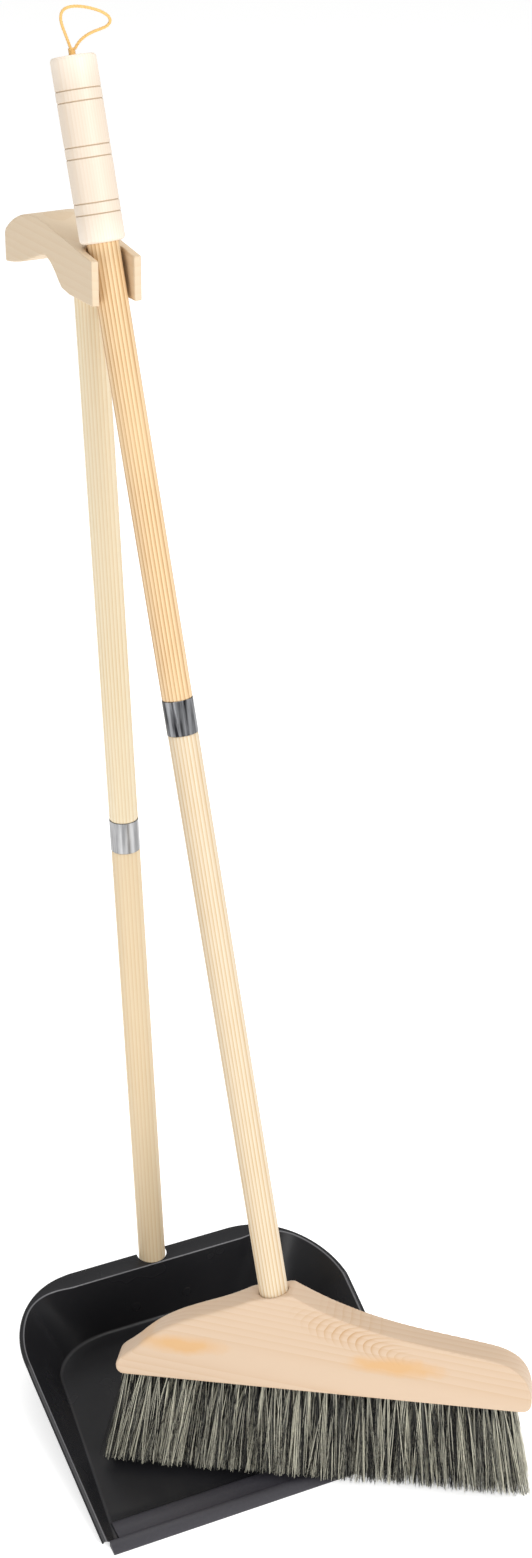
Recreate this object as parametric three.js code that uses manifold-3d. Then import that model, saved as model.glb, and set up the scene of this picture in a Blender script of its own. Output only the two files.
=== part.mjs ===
// Long-handled dustpan and broom set. Millimetres, +Z up, the pan's mouth towards -Y.
// Origin: centre of the pan floor's underside, on the surface that the set stands on.
import * as THREE from 'three';
import { mergeVertices } from 'three/addons/utils/BufferGeometryUtils.js';
import Module from 'manifold-3d';

const wasm = await Module();
wasm.setup();

// ---------- driving dimensions ----------
const GAP = 0.3;                    // air left between pieces that touch

// dustpan, pressed steel sheet
const SHEET = 1.2;                  // steel thickness
const FLOOR_DEPTH = 231;            // mouth to the crease under the back wall
const FLOOR_FRONT_WIDTH = 272;
const FLOOR_BACK_WIDTH = 230;
const FLOOR_CORNER_X = 60;          // how much of each end of the back crease the corner takes
const FLOOR_CORNER_Y = 46;
const RIM_OVERHANG = 30;            // rim's outer edge behind the floor's back crease
const RIM_FRONT_WIDTH = 295;
const RIM_BACK_WIDTH = 306;
const RIM_CORNER_X = 74;
const RIM_CORNER_Y = 98;
const MOUTH_HEIGHT = 6.2;           // side wall at the mouth
const BACK_HEIGHT = 55.5;
const FLANGE_WIDTH = 17.8;          // flat flange along the top of the back wall
const HEM_WIDTH = 3;                // what the flange tapers to along the sides
const NOTCH_CLEARANCE = 1.6;        // notch in the flange round the handle
const JOGGLE_DEPTH = 21;            // front of the floor, stepped up over the strip
const JOGGLE_RISE = 1.5;

// rubber lip strip, clipped over the front of the floor
const STRIP_WIDTH = 282;
const STRIP_NOSE = 11.5;            // how far it reaches in front of the floor
const STRIP_TOP = 4.8;
const STRIP_BACK = 19;              // how far its upper lip reaches over the floor
const STRIP_RIDGE = 5.6;

// wooden poles
const POLE_DIAMETER = 24;
const PAN_POLE_LEAN = 6.32;         // degrees backwards
const PAN_POLE_FOOT = 6;            // height of its lower end
const WALL_CLEARANCE = 0.8;         // pole to the top of the back wall
const PAN_FERRULE_MIDDLE = 483;     // along the pole, from floor level
const BROOM_FERRULE_DROP = 363;     // below the underside of the broom's grip
const FERRULE_LENGTH = 28;
const FERRULE_WALL = 0.7;
const FERRULE_PROUD = 0.3;          // ferrule's outside stands this far out of the wood
const STUD_DIAMETER = 8;
const STUD_LENGTH = 40;
const INSERT_DIAMETER = 12;
const INSERT_LENGTH = 16;

// steel socket behind the back wall
const SOCKET_WALL = 1.5;
const SOCKET_HEIGHT = 28;
const SOCKET_FOOT = 4;
const PLATE_WIDTH = 66;
const PLATE_THICKNESS = 1.5;
const RIVET_SPACING = 50;
const RIVET_DIAMETER = 4.8;
const RIVET_HEAD = 9;
const RIVET_DOME = 1.6;
const RIVET_FLUSH_HEAD = 0.3;       // inside the pan the heads are pressed almost flat
const SCREW_HEAD_HEIGHT = 2.7;

// carved hook handle on top of the dustpan's pole
const HOOK_WIDTH = 39;
const HOOK_TOP = 978;               // height of its flat top
const HOOK_FRONT_HEIGHT = 34;       // height of the two ears
const HOOK_BLOCK_DROP = 41;         // underside of the block that holds the pole, below the top
const EAR_REACH = 64;               // front of the ears ahead of the pole's axis
const ARM_REACH = 155;              // back end of the arm behind the pole's axis
const TAIL_TAPER = 25;              // arm rounds off to its end over this, seen from above
const FORK_CLEARANCE = 3.6;         // slot between the ears, wider than the pole by this
const FORK_SLOT_WIDTH = POLE_DIAMETER + FORK_CLEARANCE;
const FORK_ROOT_GAP = 4;            // pole to the round end of the slot
const HANG_ASIDE = -FORK_CLEARANCE / 4;  // the broom leans on the left ear
const POLE_IN_HOOK = 24;

// broom
const GRIP_DIAMETER = 34;
const GRIP_LENGTH = 133;
const POLE_IN_GRIP = 60;
const PIN_DIAMETER = 4;
const HANG_AHEAD = 42;              // broom's axis ahead of the pole's axis, at the hook's top
const BROOM_LEAN_BACK = 17.58;      // degrees
const BROOM_LEAN_SIDE = -2.16;
const BROOM_SPIN = -30.8;           // turn of the broom about its own pole
const HEAD_DROP = 902.5;            // grip's underside to the head's reference point
const HEAD_LEAN = 10.55;            // head's length against the pole
const HEAD_WALL = 2.4;              // wood on each side of the pole
const HEAD_THICKNESS = POLE_DIAMETER + 2 * HEAD_WALL;
const HEAD_SHORT_END = 137.5;       // reference point to the left end
const HEAD_LONG_END = 210;          // and to the right end
const HEAD_BOTTOM = -41.6;
const HEAD_PEAK = 46;
const HEAD_ROUNDING = 4;
const HEAD_CORNER = 9;
const POLE_IN_HEAD = 40;            // depth of the socket below the peak
const BRISTLE_INSET_SHORT = 6;      // rows start this far in from the head's short end
const BRISTLE_INSET_LONG = 13;      // and from its long end
const BRISTLE_LENGTH_SHORT_END = 82;
const BRISTLE_LENGTH_LONG_END = 76;
const BRISTLE_FAN_SHORT_END = 10;   // outward spread of the end tufts
const BRISTLE_FAN_LONG_END = 15;
const BRISTLE_ROWS = 5;
const ROW_THICKNESS = 4;
const TIP_THICKNESS = 7;
const ROW_GAP = 0.9;
const TIP_HEIGHT = 9;               // tips hang just clear of the pan's floor and lip

// hanging loop
const LOOP_DIAMETER = 2.3;
const TIE_DIAMETER = 5.4;
const TIE_HEIGHT = 4;

// ---------- materials ----------
const steelBlack = { color: 0x222326, roughness: 0.45, metalness: 0.3 };
const steelBright = { color: 0xb4b4b4, roughness: 0.35, metalness: 0.9 };
const steelDark = { color: 0x4c4f54, roughness: 0.4, metalness: 0.8 };
const rubber = { color: 0x3c3a44, roughness: 0.6, metalness: 0 };
const pine = { color: 0xf0dcb4, roughness: 0.6, metalness: 0 };
const palePine = { color: 0xf0d8b8, roughness: 0.6, metalness: 0 };
const beech = { color: 0xdac8ac, roughness: 0.6, metalness: 0 };
const hair = { color: 0x6a6b60, roughness: 0.9, metalness: 0 };
const goldCord = { color: 0xd7a55f, roughness: 0.7, metalness: 0 };

// ---------- helpers ----------
const radians = THREE.MathUtils.degToRad;
const POLE_RADIUS = POLE_DIAMETER / 2;

function solid(geometry) {
  const plain = geometry.clone();
  plain.deleteAttribute('normal');
  plain.deleteAttribute('uv');
  const merged = mergeVertices(plain, 1e-4);
  return new wasm.Manifold(new wasm.Mesh({
    numProp: 3,
    vertProperties: new Float32Array(merged.attributes.position.array),
    triVerts: new Uint32Array(merged.index.array),
  }));
}

function geometryOf(manifold) {
  const mesh = manifold.getMesh();
  const geometry = new THREE.BufferGeometry();
  geometry.setAttribute('position', new THREE.BufferAttribute(mesh.vertProperties, 3));
  geometry.setIndex(new THREE.BufferAttribute(mesh.triVerts, 1));
  geometry.computeVertexNormals();
  return geometry;
}

function add(parent, name, geometry, material) {
  const mesh = new THREE.Mesh(geometry, new THREE.MeshStandardMaterial(material));
  mesh.name = name;
  parent.add(mesh);
  return mesh;
}

// rings of equal point count joined into one closed body, capped at both ends
function loft(rings) {
  const count = rings[0].length;
  const positions = rings.flat().flatMap((p) => [p.x, p.y, p.z]);
  const index = [];
  for (let r = 0; r + 1 < rings.length; r++) {
    for (let i = 0; i < count; i++) {
      const a = r * count + i;
      const b = r * count + (i + 1) % count;
      index.push(a, b, b + count, a, b + count, a + count);
    }
  }
  const caps = [rings[0], rings[rings.length - 1]];
  caps.forEach((ring, end) => {
    const flat = ring.map((p) => new THREE.Vector2(p.x, p.y));
    const start = end * (rings.length - 1) * count;
    for (const [a, b, c] of THREE.ShapeUtils.triangulateShape(flat, [])) {
      index.push(...(end ? [start + a, start + b, start + c] : [start + a, start + c, start + b]));
    }
  });
  const geometry = new THREE.BufferGeometry();
  geometry.setAttribute('position', new THREE.Float32BufferAttribute(positions, 3));
  geometry.setIndex(index);
  return geometry;
}

// upright cylinder between two heights
function rod(radius, low, high, sides = 32) {
  const geometry = new THREE.CylinderGeometry(radius, radius, high - low, sides);
  return geometry.rotateX(Math.PI / 2).translate(0, 0, (low + high) / 2);
}

function box(x0, x1, y0, y1, z0, z1) {
  const geometry = new THREE.BoxGeometry(x1 - x0, y1 - y0, z1 - z0);
  return geometry.translate((x0 + x1) / 2, (y0 + y1) / 2, (z0 + z1) / 2);
}

// turned piece: profile points are [radius, height]
function turned(profile, sides = 32) {
  const points = profile.map(([r, z]) => new THREE.Vector2(r, z));
  return new THREE.LatheGeometry(points, sides).rotateX(Math.PI / 2);
}

function sleeve(inner, outer, low, high, sides = 32) {
  return turned([[inner, low], [outer, low], [outer, high], [inner, high], [inner, low]], sides);
}

// outline in the Y-Z plane, pushed out symmetrically along X
function sideProfile(shape, width, rounding, curveSteps) {
  const geometry = new THREE.ExtrudeGeometry(shape, {
    depth: width - 2 * rounding,
    bevelEnabled: rounding > 0,
    bevelThickness: rounding,
    bevelSize: rounding,
    bevelOffset: -rounding,
    bevelSegments: 3,
    curveSegments: curveSteps,
  });
  geometry.translate(0, 0, -(width - 2 * rounding) / 2);
  return geometry.rotateX(Math.PI / 2).rotateZ(Math.PI / 2);
}

const set = new THREE.Group();
set.position.y = -FLOOR_DEPTH / 2;  // below, y = 0 is the front edge of the pan's floor

// ---------- dustpan ----------
// open U-shaped outline from the left front, round the back, to the right front
function panOutline(frontHalf, backHalf, depth, cornerX, cornerY, lead) {
  const cornerSteps = 12;
  const sideStart = -lead;
  const right = [];
  const sideEnd = depth - cornerY;
  const slope = (backHalf - frontHalf) / sideEnd;
  for (const y of [sideStart, JOGGLE_DEPTH, sideEnd * 0.4, sideEnd * 0.7]) {
    right.push(new THREE.Vector2(frontHalf + slope * y, y));
  }
  for (let i = 0; i <= cornerSteps; i++) {
    const angle = (i / cornerSteps) * Math.PI / 2;
    right.push(new THREE.Vector2(
      backHalf - cornerX * (1 - Math.cos(angle)), sideEnd + cornerY * Math.sin(angle)));
  }
  const left = right.map((p) => new THREE.Vector2(-p.x, p.y)).reverse();
  return [...right, ...left];
}

const rimDepth = FLOOR_DEPTH + RIM_OVERHANG;
const rimSideEnd = rimDepth - RIM_CORNER_Y;

function rimHeight(y) {
  const along = THREE.MathUtils.clamp(y / rimSideEnd, -0.2, 1);
  return THREE.MathUtils.lerp(MOUTH_HEIGHT, BACK_HEIGHT, along);
}

function inward(points, distance) {
  return points.map((p, i) => {
    const before = points[Math.max(i - 1, 0)];
    const after = points[Math.min(i + 1, points.length - 1)];
    const along = after.clone().sub(before).normalize();
    const step = typeof distance === 'function' ? distance(p) : distance;
    return new THREE.Vector2(p.x - along.y * step, p.y + along.x * step);
  });
}

// the flange is full width along the back and tapers round the corners to the hem
function flangeWidth(p) {
  const start = RIM_BACK_WIDTH / 2 - RIM_CORNER_X;
  const t = THREE.MathUtils.clamp((Math.abs(p.x) - start) / (RIM_CORNER_X * 0.75), 0, 1);
  const side = p.y < rimSideEnd ? 1 : t * t * (3 - 2 * t);
  return THREE.MathUtils.lerp(FLANGE_WIDTH, HEM_WIDTH, side);
}

function panRings(lead) {
  const floor = panOutline(FLOOR_FRONT_WIDTH / 2, FLOOR_BACK_WIDTH / 2, FLOOR_DEPTH,
    FLOOR_CORNER_X, FLOOR_CORNER_Y, lead);
  const rim = panOutline(RIM_FRONT_WIDTH / 2, RIM_BACK_WIDTH / 2, rimDepth,
    RIM_CORNER_X, RIM_CORNER_Y, lead);
  return { floor, rim, crease: inward(rim, flangeWidth) };
}

// ---------- frames of the handle and of the back wall ----------
const lean = radians(PAN_POLE_LEAN);
const creaseDepth = FLOOR_DEPTH + RIM_OVERHANG - FLANGE_WIDTH;
const footY = creaseDepth + WALL_CLEARANCE + POLE_RADIUS / Math.cos(lean)
  - (BACK_HEIGHT + SHEET) * Math.tan(lean);
const panHandle = new THREE.Group();
panHandle.position.set(0, footY, 0);
panHandle.rotation.x = -lean;
set.add(panHandle);

const socketBore = POLE_RADIUS + GAP;
const socketOuter = socketBore + SOCKET_WALL;
const socketTop = SOCKET_FOOT + SOCKET_HEIGHT;

// back wall's outer face, as a line in Y-Z that the plate is parallel to
const wallRun = creaseDepth - FLOOR_DEPTH;
const wallAngle = Math.atan2(wallRun, BACK_HEIGHT);

function socketPlate() {
  const plate = new THREE.Group();
  plate.position.set(0, FLOOR_DEPTH + GAP, 0);
  plate.rotation.x = -wallAngle;
  plate.updateMatrix();
  return plate.matrix;
}
const plateMatrix = socketPlate();
const handleMatrix = (() => {
  panHandle.updateMatrix();
  return panHandle.matrix;
})();

const plateLow = SOCKET_FOOT + 2;
const plateHigh = socketTop - 1;
const rivetHeight = (plateLow + plateHigh) / 2;

const at = (outline, height) => outline.map((p) => (
  new THREE.Vector3(p.x, p.y, typeof height === 'function' ? height(p.y) : height)));

function rivetHole(side) {
  return rod(RIVET_DIAMETER / 2 + GAP, -8, 8, 20).rotateX(Math.PI / 2)
    .translate(side * RIVET_SPACING / 2, 0, rivetHeight).applyMatrix4(plateMatrix);
}

function panShell() {
  const { floor, rim, crease } = panRings(0);
  const outer = solid(loft([at(floor, 0), at(crease, rimHeight)]));

  // hollow: the same walls one sheet further in, carried on past the rim and the mouth
  const lead = 30;
  const inner = panRings(lead);
  const foot = at(inward(inner.floor, SHEET), SHEET);
  const top = at(inward(inner.crease, SHEET), (y) => rimHeight(y) + SHEET);
  const above = top.map((p, i) => p.clone().add(p.clone().sub(foot[i]).multiplyScalar(0.8)));
  const step = solid(box(-RIM_BACK_WIDTH, RIM_BACK_WIDTH, -lead * 2, JOGGLE_DEPTH + SHEET,
    -SHEET, JOGGLE_RISE + SHEET));
  const hollow = solid(loft([foot, above])).subtract(step);
  const under = solid(box(-RIM_BACK_WIDTH, RIM_BACK_WIDTH, -lead * 2, JOGGLE_DEPTH, -SHEET, JOGGLE_RISE));

  // flange and hem: a flat band from just inside the crease to the rim's outer edge
  const bandInner = inward(crease, SHEET * 3);
  const ring = [...rim, ...bandInner.reverse()];
  const band = solid(loft([at(ring, (y) => rimHeight(y) - SHEET), at(ring, rimHeight)]));

  // notch that the handle passes through, open to the back
  const notchHalf = POLE_RADIUS + NOTCH_CLEARANCE;
  const cutter = solid(rod(notchHalf, 0, BACK_HEIGHT * 2)).add(
    solid(box(-notchHalf, notchHalf, 0, RIM_OVERHANG * 2, 0, BACK_HEIGHT * 2)));
  const notch = cutter.translate([0, creaseDepth + notchHalf, BACK_HEIGHT * 0.4]);
  let pressed = outer.add(band.subtract(notch)).subtract(under).subtract(hollow);
  for (const side of [-1, 1]) {
    pressed = pressed.subtract(solid(rivetHole(side)));
  }
  return pressed;
}
const shell = panShell();
add(set, 'pan_shell', geometryOf(shell), steelBlack);

function lipStrip() {
  const nose = new THREE.Shape();
  nose.moveTo(-STRIP_NOSE, 0);
  nose.lineTo(-GAP, 0);
  nose.lineTo(-GAP, STRIP_RIDGE);
  nose.lineTo(-STRIP_NOSE * 0.35, STRIP_RIDGE);
  nose.lineTo(-STRIP_NOSE, 1.6);
  nose.closePath();
  const slotLow = JOGGLE_RISE - GAP;
  const slotHigh = JOGGLE_RISE + SHEET + GAP;
  const lips = new THREE.Shape();
  lips.moveTo(-STRIP_NOSE * 0.35, 0);
  lips.lineTo(STRIP_BACK, 0);
  lips.lineTo(STRIP_BACK, slotLow);
  lips.lineTo(-GAP, slotLow);
  lips.lineTo(-GAP, slotHigh);
  lips.lineTo(STRIP_BACK, slotHigh);
  lips.lineTo(STRIP_BACK, slotHigh + 0.5);
  lips.lineTo(STRIP_BACK - 3, STRIP_TOP);
  lips.lineTo(-STRIP_NOSE * 0.35, STRIP_RIDGE);
  lips.closePath();
  const floorTaper = (FLOOR_FRONT_WIDTH - FLOOR_BACK_WIDTH) / (FLOOR_DEPTH - FLOOR_CORNER_Y);
  const lipWidth = FLOOR_FRONT_WIDTH - floorTaper * STRIP_BACK - 2 * SHEET - 2 * GAP;
  return geometryOf(solid(sideProfile(nose, STRIP_WIDTH, 0, 4)).add(
    solid(sideProfile(lips, lipWidth, 0, 4))));
}
add(set, 'lip_strip', lipStrip(), rubber);

function handleSocket() {
  const tube = solid(rod(socketOuter, SOCKET_FOOT, socketTop).applyMatrix4(handleMatrix));
  const bore = solid(rod(socketBore, SOCKET_FOOT + SOCKET_WALL, socketTop + 20).applyMatrix4(handleMatrix));
  const plate = solid(box(-PLATE_WIDTH / 2, PLATE_WIDTH / 2, 0, PLATE_THICKNESS, plateLow, plateHigh)
    .applyMatrix4(plateMatrix));
  const web = solid(box(-socketOuter * 0.7, socketOuter * 0.7, PLATE_THICKNESS / 2, socketOuter,
    plateLow, plateHigh).applyMatrix4(plateMatrix));
  let body = tube.add(plate).add(web).subtract(bore);
  const front = solid(box(-PLATE_WIDTH, PLATE_WIDTH, -60, 0, -60, 90).applyMatrix4(plateMatrix));
  body = body.subtract(front);
  for (const side of [-1, 1]) {
    body = body.subtract(solid(rivetHole(side)));
  }
  const screwHole = rod(RIVET_DIAMETER / 2 + GAP, 0, socketOuter + 4, 20).rotateX(-Math.PI / 2)
    .translate(0, 0, rivetHeight).applyMatrix4(handleMatrix);
  return geometryOf(body.subtract(solid(screwHole)));
}
add(set, 'handle_socket', handleSocket(), steelBlack);

function rivet(side) {
  const inside = -SHEET - GAP * 2;
  const outside = PLATE_THICKNESS + GAP;
  const crown = RIVET_DOME * 0.88;
  const flush = inside - RIVET_FLUSH_HEAD;
  const domeInside = turned([
    [0, flush], [RIVET_HEAD * 0.4, flush], [RIVET_HEAD / 2, inside], [0, inside]], 20);
  const shank = rod(RIVET_DIAMETER / 2, inside - 0.1, outside + 0.1, 20);
  const domeOutside = turned([[0, outside], [RIVET_HEAD / 2, outside],
    [RIVET_HEAD * 0.3, outside + crown], [0, outside + RIVET_DOME]], 20);
  const body = solid(domeInside).add(solid(shank)).add(solid(domeOutside));
  const geometry = geometryOf(body).rotateX(-Math.PI / 2);
  return geometry.translate(side * RIVET_SPACING / 2, 0, rivetHeight).applyMatrix4(plateMatrix);
}

add(set, 'rivet_left', rivet(-1), steelBlack);
add(set, 'rivet_right', rivet(1), steelBlack);

// ---------- poles ----------
const tenonRadius = POLE_RADIUS + FERRULE_PROUD - FERRULE_WALL - GAP;
const ferruleInner = tenonRadius + GAP;
const ferruleOuter = POLE_RADIUS + FERRULE_PROUD;
const studBore = STUD_DIAMETER / 2 + GAP;
const insertBore = INSERT_DIAMETER / 2 + GAP;

// A pole is two lengths of wood. At the joint each is turned down into the ferrule and bored:
// the upper length holds the stud, the lower length holds a threaded insert.
function poleJoint(group, prefix, middle, low, high, ferruleFinish) {
  const half = FERRULE_LENGTH / 2;
  const lowerTop = middle - GAP / 2;
  const upperFoot = middle + GAP / 2;
  const lower = solid(turned([[0, low], [POLE_RADIUS, low], [POLE_RADIUS, middle - half - GAP],
    [tenonRadius, middle - half - GAP], [tenonRadius, lowerTop], [0, lowerTop]]))
    .subtract(solid(rod(insertBore, lowerTop - INSERT_LENGTH - GAP, lowerTop + 1, 24)))
    .subtract(solid(rod(studBore, lowerTop - STUD_LENGTH / 2 - 4, lowerTop + 1, 24)));
  const upper = solid(turned([[0, upperFoot], [tenonRadius, upperFoot],
    [tenonRadius, middle + half + GAP], [POLE_RADIUS, middle + half + GAP],
    [POLE_RADIUS, high], [0, high]]))
    .subtract(solid(rod(studBore, upperFoot - 1, upperFoot + STUD_LENGTH / 2 + 1, 24)));
  add(group, `${prefix}_ferrule`,
    sleeve(ferruleInner, ferruleOuter, middle - half, middle + half), ferruleFinish);
  add(group, `${prefix}_joint_stud`,
    rod(STUD_DIAMETER / 2, middle - STUD_LENGTH / 2, middle + STUD_LENGTH / 2, 16), steelBright);
  add(group, `${prefix}_joint_insert`, sleeve(studBore, INSERT_DIAMETER / 2,
    lowerTop - INSERT_LENGTH, lowerTop - GAP, 16), steelBright);
  return { lower, upper };
}

// height of the hook's underside and top along the leaning pole, from its foot
const hookUnderside = HOOK_TOP - HOOK_BLOCK_DROP;
const poleTop = (hookUnderside + POLE_IN_HOOK) / Math.cos(lean);
const panJoint = poleJoint(panHandle, 'pan', PAN_FERRULE_MIDDLE, PAN_POLE_FOOT, poleTop, steelBright);
const poleScrewReach = socketOuter + GAP;
const poleScrewTip = 2;

function crosswiseRod(radius, from, to, height, sides = 20) {
  return rod(radius, from, to, sides).rotateX(-Math.PI / 2).translate(0, 0, height);
}

const poleScrewHole = crosswiseRod(
  RIVET_DIAMETER / 2 + GAP, poleScrewTip - GAP, POLE_RADIUS + 2, rivetHeight);
add(panHandle, 'pan_pole_lower', geometryOf(panJoint.lower.subtract(solid(poleScrewHole))), palePine);

const hookScrewHeight = poleTop + 6;  // where its head sits
const hookScrewDepth = 26;            // how far it reaches into the pole
const hookScrewHole = rod(RIVET_DIAMETER / 2 + GAP, poleTop - hookScrewDepth - 4, poleTop + 1, 20);
add(panHandle, 'pan_pole_upper', geometryOf(panJoint.upper.subtract(solid(hookScrewHole))), pine);

const poleScrew = solid(crosswiseRod(RIVET_DIAMETER / 2, poleScrewTip, poleScrewReach + 0.1, rivetHeight))
  .add(solid(crosswiseRod(RIVET_HEAD / 2, poleScrewReach, poleScrewReach + RIVET_DOME, rivetHeight)));
add(panHandle, 'pole_screw', geometryOf(poleScrew), steelBright);

// ---------- hook handle ----------
// side view: ears in front, block on the pole, arched arm that droops to the back
const poleYAtHook = footY + HOOK_TOP * Math.tan(lean);

function hookHandle() {
  const front = -EAR_REACH;
  const shape = new THREE.Shape();
  shape.moveTo(front, -HOOK_FRONT_HEIGHT);
  shape.lineTo(-12, -HOOK_BLOCK_DROP);
  shape.lineTo(2, -HOOK_BLOCK_DROP);
  shape.bezierCurveTo(12, -HOOK_BLOCK_DROP + 2, 18, -27.5, 38, -26.5);
  shape.bezierCurveTo(50, -26, 80, -48, ARM_REACH - 18, -61);
  shape.bezierCurveTo(ARM_REACH - 8, -64, ARM_REACH + 2, -58, ARM_REACH, -50);
  shape.bezierCurveTo(ARM_REACH - 13, -21, 98, 2.2, 34, 0);
  shape.lineTo(front, 0);
  shape.closePath();
  const body = solid(sideProfile(shape, HOOK_WIDTH, 2, 10)
    .translate(0, poleYAtHook, HOOK_TOP));

  // plan view: square in front, round at the back end
  const half = HOOK_WIDTH / 2;
  const plan = new THREE.Shape();
  plan.moveTo(-half - 1, poleYAtHook + front - 1);
  plan.lineTo(half + 1, poleYAtHook + front - 1);
  plan.lineTo(half + 1, poleYAtHook + ARM_REACH - TAIL_TAPER);
  plan.absellipse(0, poleYAtHook + ARM_REACH - TAIL_TAPER, half + 1, TAIL_TAPER, 0, Math.PI, false);
  plan.closePath();
  const above = HOOK_TOP + 20;          // cutters run past the handle, above and below
  const below = HOOK_TOP - 90;
  const outline = solid(new THREE.ExtrudeGeometry(plan, {
    depth: above - below, bevelEnabled: false, curveSegments: 16,
  }).translate(0, 0, below));

  // fork slot with a round root, open to the front
  const slotHalf = FORK_SLOT_WIDTH / 2;
  const slotRoot = poleYAtHook - HANG_AHEAD + POLE_RADIUS + FORK_ROOT_GAP;
  const slotCentre = slotRoot - slotHalf;
  const slotMouth = poleYAtHook + front - 20;
  const slot = solid(rod(slotHalf, below, above).translate(0, slotCentre, 0))
    .add(solid(box(-slotHalf, slotHalf, slotMouth, slotCentre, below, above)));
  const alongPole = (radius, from, to) => solid(rod(radius, from, to, 32).applyMatrix4(handleMatrix));
  const overTop = poleTop + HOOK_BLOCK_DROP;
  const socket = alongPole(POLE_RADIUS + GAP, poleTop - HOOK_BLOCK_DROP * 1.5, poleTop + GAP);
  const screw = alongPole(RIVET_DIAMETER / 2 + GAP, poleTop - 4, overTop);
  const sink = alongPole(RIVET_HEAD / 2 + GAP, hookScrewHeight, overTop);
  return geometryOf(body.intersect(outline).subtract(slot).subtract(socket).subtract(screw).subtract(sink));
}
add(set, 'hook_handle', hookHandle(), beech);

const hookScrew = solid(rod(RIVET_DIAMETER / 2, poleTop - hookScrewDepth, hookScrewHeight + GAP + 0.1, 20))
  .add(solid(rod(RIVET_HEAD / 2, hookScrewHeight + GAP, hookScrewHeight + GAP + SCREW_HEAD_HEIGHT, 20)));
add(panHandle, 'hook_screw', geometryOf(hookScrew), steelBright);
const plugTop = (HOOK_TOP - 1.6) / Math.cos(lean);
const plugFoot = hookScrewHeight + SCREW_HEAD_HEIGHT + 2 * GAP;
add(panHandle, 'hook_plug', rod(RIVET_HEAD / 2, plugFoot, plugTop, 20), beech);

// ---------- broom ----------
// Its own frame: pole along Z, origin at the underside of the grip, head's length along X.
const broom = new THREE.Group();
const backLean = radians(BROOM_LEAN_BACK);
broom.rotation.set(-backLean, radians(BROOM_LEAN_SIDE), radians(BROOM_SPIN));
broom.position.set(HANG_ASIDE, poleYAtHook - HANG_AHEAD + 3,
  HOOK_TOP + GAP + (GRIP_DIAMETER / 2) * Math.sin(backLean));
set.add(broom);

const gripRadius = GRIP_DIAMETER / 2;
const grooveDepth = 0.5;
const grooveHalf = 0.6;
const grooves = [0.157, 0.219, 0.459, 0.521, 0.759, 0.821];

function broomGrip() {
  const round = 2.5;
  const profile = [
    [0, 0], [gripRadius - round, 0], [gripRadius - round * 0.3, round * 0.3], [gripRadius, round]];
  for (const share of grooves) {
    const z = share * GRIP_LENGTH;
    profile.push([gripRadius, z - grooveHalf], [gripRadius - grooveDepth, z], [gripRadius, z + grooveHalf]);
  }
  profile.push([gripRadius, GRIP_LENGTH - round], [gripRadius - round * 0.3, GRIP_LENGTH - round * 0.3],
    [gripRadius - round, GRIP_LENGTH], [0, GRIP_LENGTH]);
  const bore = solid(rod(POLE_RADIUS + GAP, -1, POLE_IN_GRIP + GAP));
  const pin = solid(crosspin(PIN_DIAMETER / 2 + GAP, GRIP_DIAMETER + 4));
  return geometryOf(solid(turned(profile)).subtract(bore).subtract(pin));
}

function crosspin(radius, length) {
  return rod(radius, -length / 2, length / 2, 16).rotateX(Math.PI / 2)
    .translate(0, 0, POLE_IN_GRIP / 2);
}
add(broom, 'broom_grip', broomGrip(), palePine);
add(broom, 'grip_pin', crosspin(PIN_DIAMETER / 2, GRIP_DIAMETER - 2), beech);

// the head's reference point lies on the pole's axis
const headLean = radians(HEAD_LEAN);
const head = new THREE.Group();
head.position.z = -HEAD_DROP;
head.rotation.y = headLean;
broom.add(head);
head.updateMatrix();
const headToBroom = head.matrix;
const broomToHead = headToBroom.clone().invert();

const poleFoot = -HEAD_DROP + (HEAD_PEAK - POLE_IN_HEAD);
const broomJoint = poleJoint(broom, 'broom', -BROOM_FERRULE_DROP, poleFoot, POLE_IN_GRIP, steelDark);
const headScrewHole = rod(RIVET_DIAMETER / 2 + GAP, poleFoot - 1, poleFoot + 30, 20);
add(broom, 'broom_pole_lower', geometryOf(broomJoint.lower.subtract(solid(headScrewHole))), pine);
const pinHole = crosspin(PIN_DIAMETER / 2 + GAP, GRIP_DIAMETER + 4);
add(broom, 'broom_pole_upper', geometryOf(broomJoint.upper.subtract(solid(pinHole))), pine);

// head: gull-wing outline seen from the front, the neck nearer to the short end
function headShape() {
  const shape = new THREE.Shape();
  const left = -HEAD_SHORT_END;
  const right = HEAD_LONG_END;
  shape.moveTo(left + HEAD_CORNER, HEAD_BOTTOM);
  shape.lineTo(right - HEAD_CORNER, HEAD_BOTTOM);
  shape.quadraticCurveTo(right + 1, HEAD_BOTTOM, right + 1, HEAD_BOTTOM + HEAD_CORNER);
  shape.bezierCurveTo(right - 1, HEAD_BOTTOM + 32, right - 14, HEAD_PEAK - 46, right - 34, HEAD_PEAK - 42.5);
  shape.bezierCurveTo(right - 86, HEAD_PEAK - 34, 70, HEAD_PEAK - 32, 8, HEAD_PEAK);
  shape.lineTo(-26, HEAD_PEAK - 8);
  shape.bezierCurveTo(-62, HEAD_PEAK - 28, -92, HEAD_PEAK - 30, left + 18, HEAD_PEAK - 60);
  shape.bezierCurveTo(left + 8, HEAD_PEAK - 70, left + 2, HEAD_BOTTOM + 16, left, HEAD_BOTTOM + HEAD_CORNER);
  shape.quadraticCurveTo(left, HEAD_BOTTOM, left + HEAD_CORNER, HEAD_BOTTOM);
  return new THREE.Shape(shape.getPoints(10).slice(0, -1));
}

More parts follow.
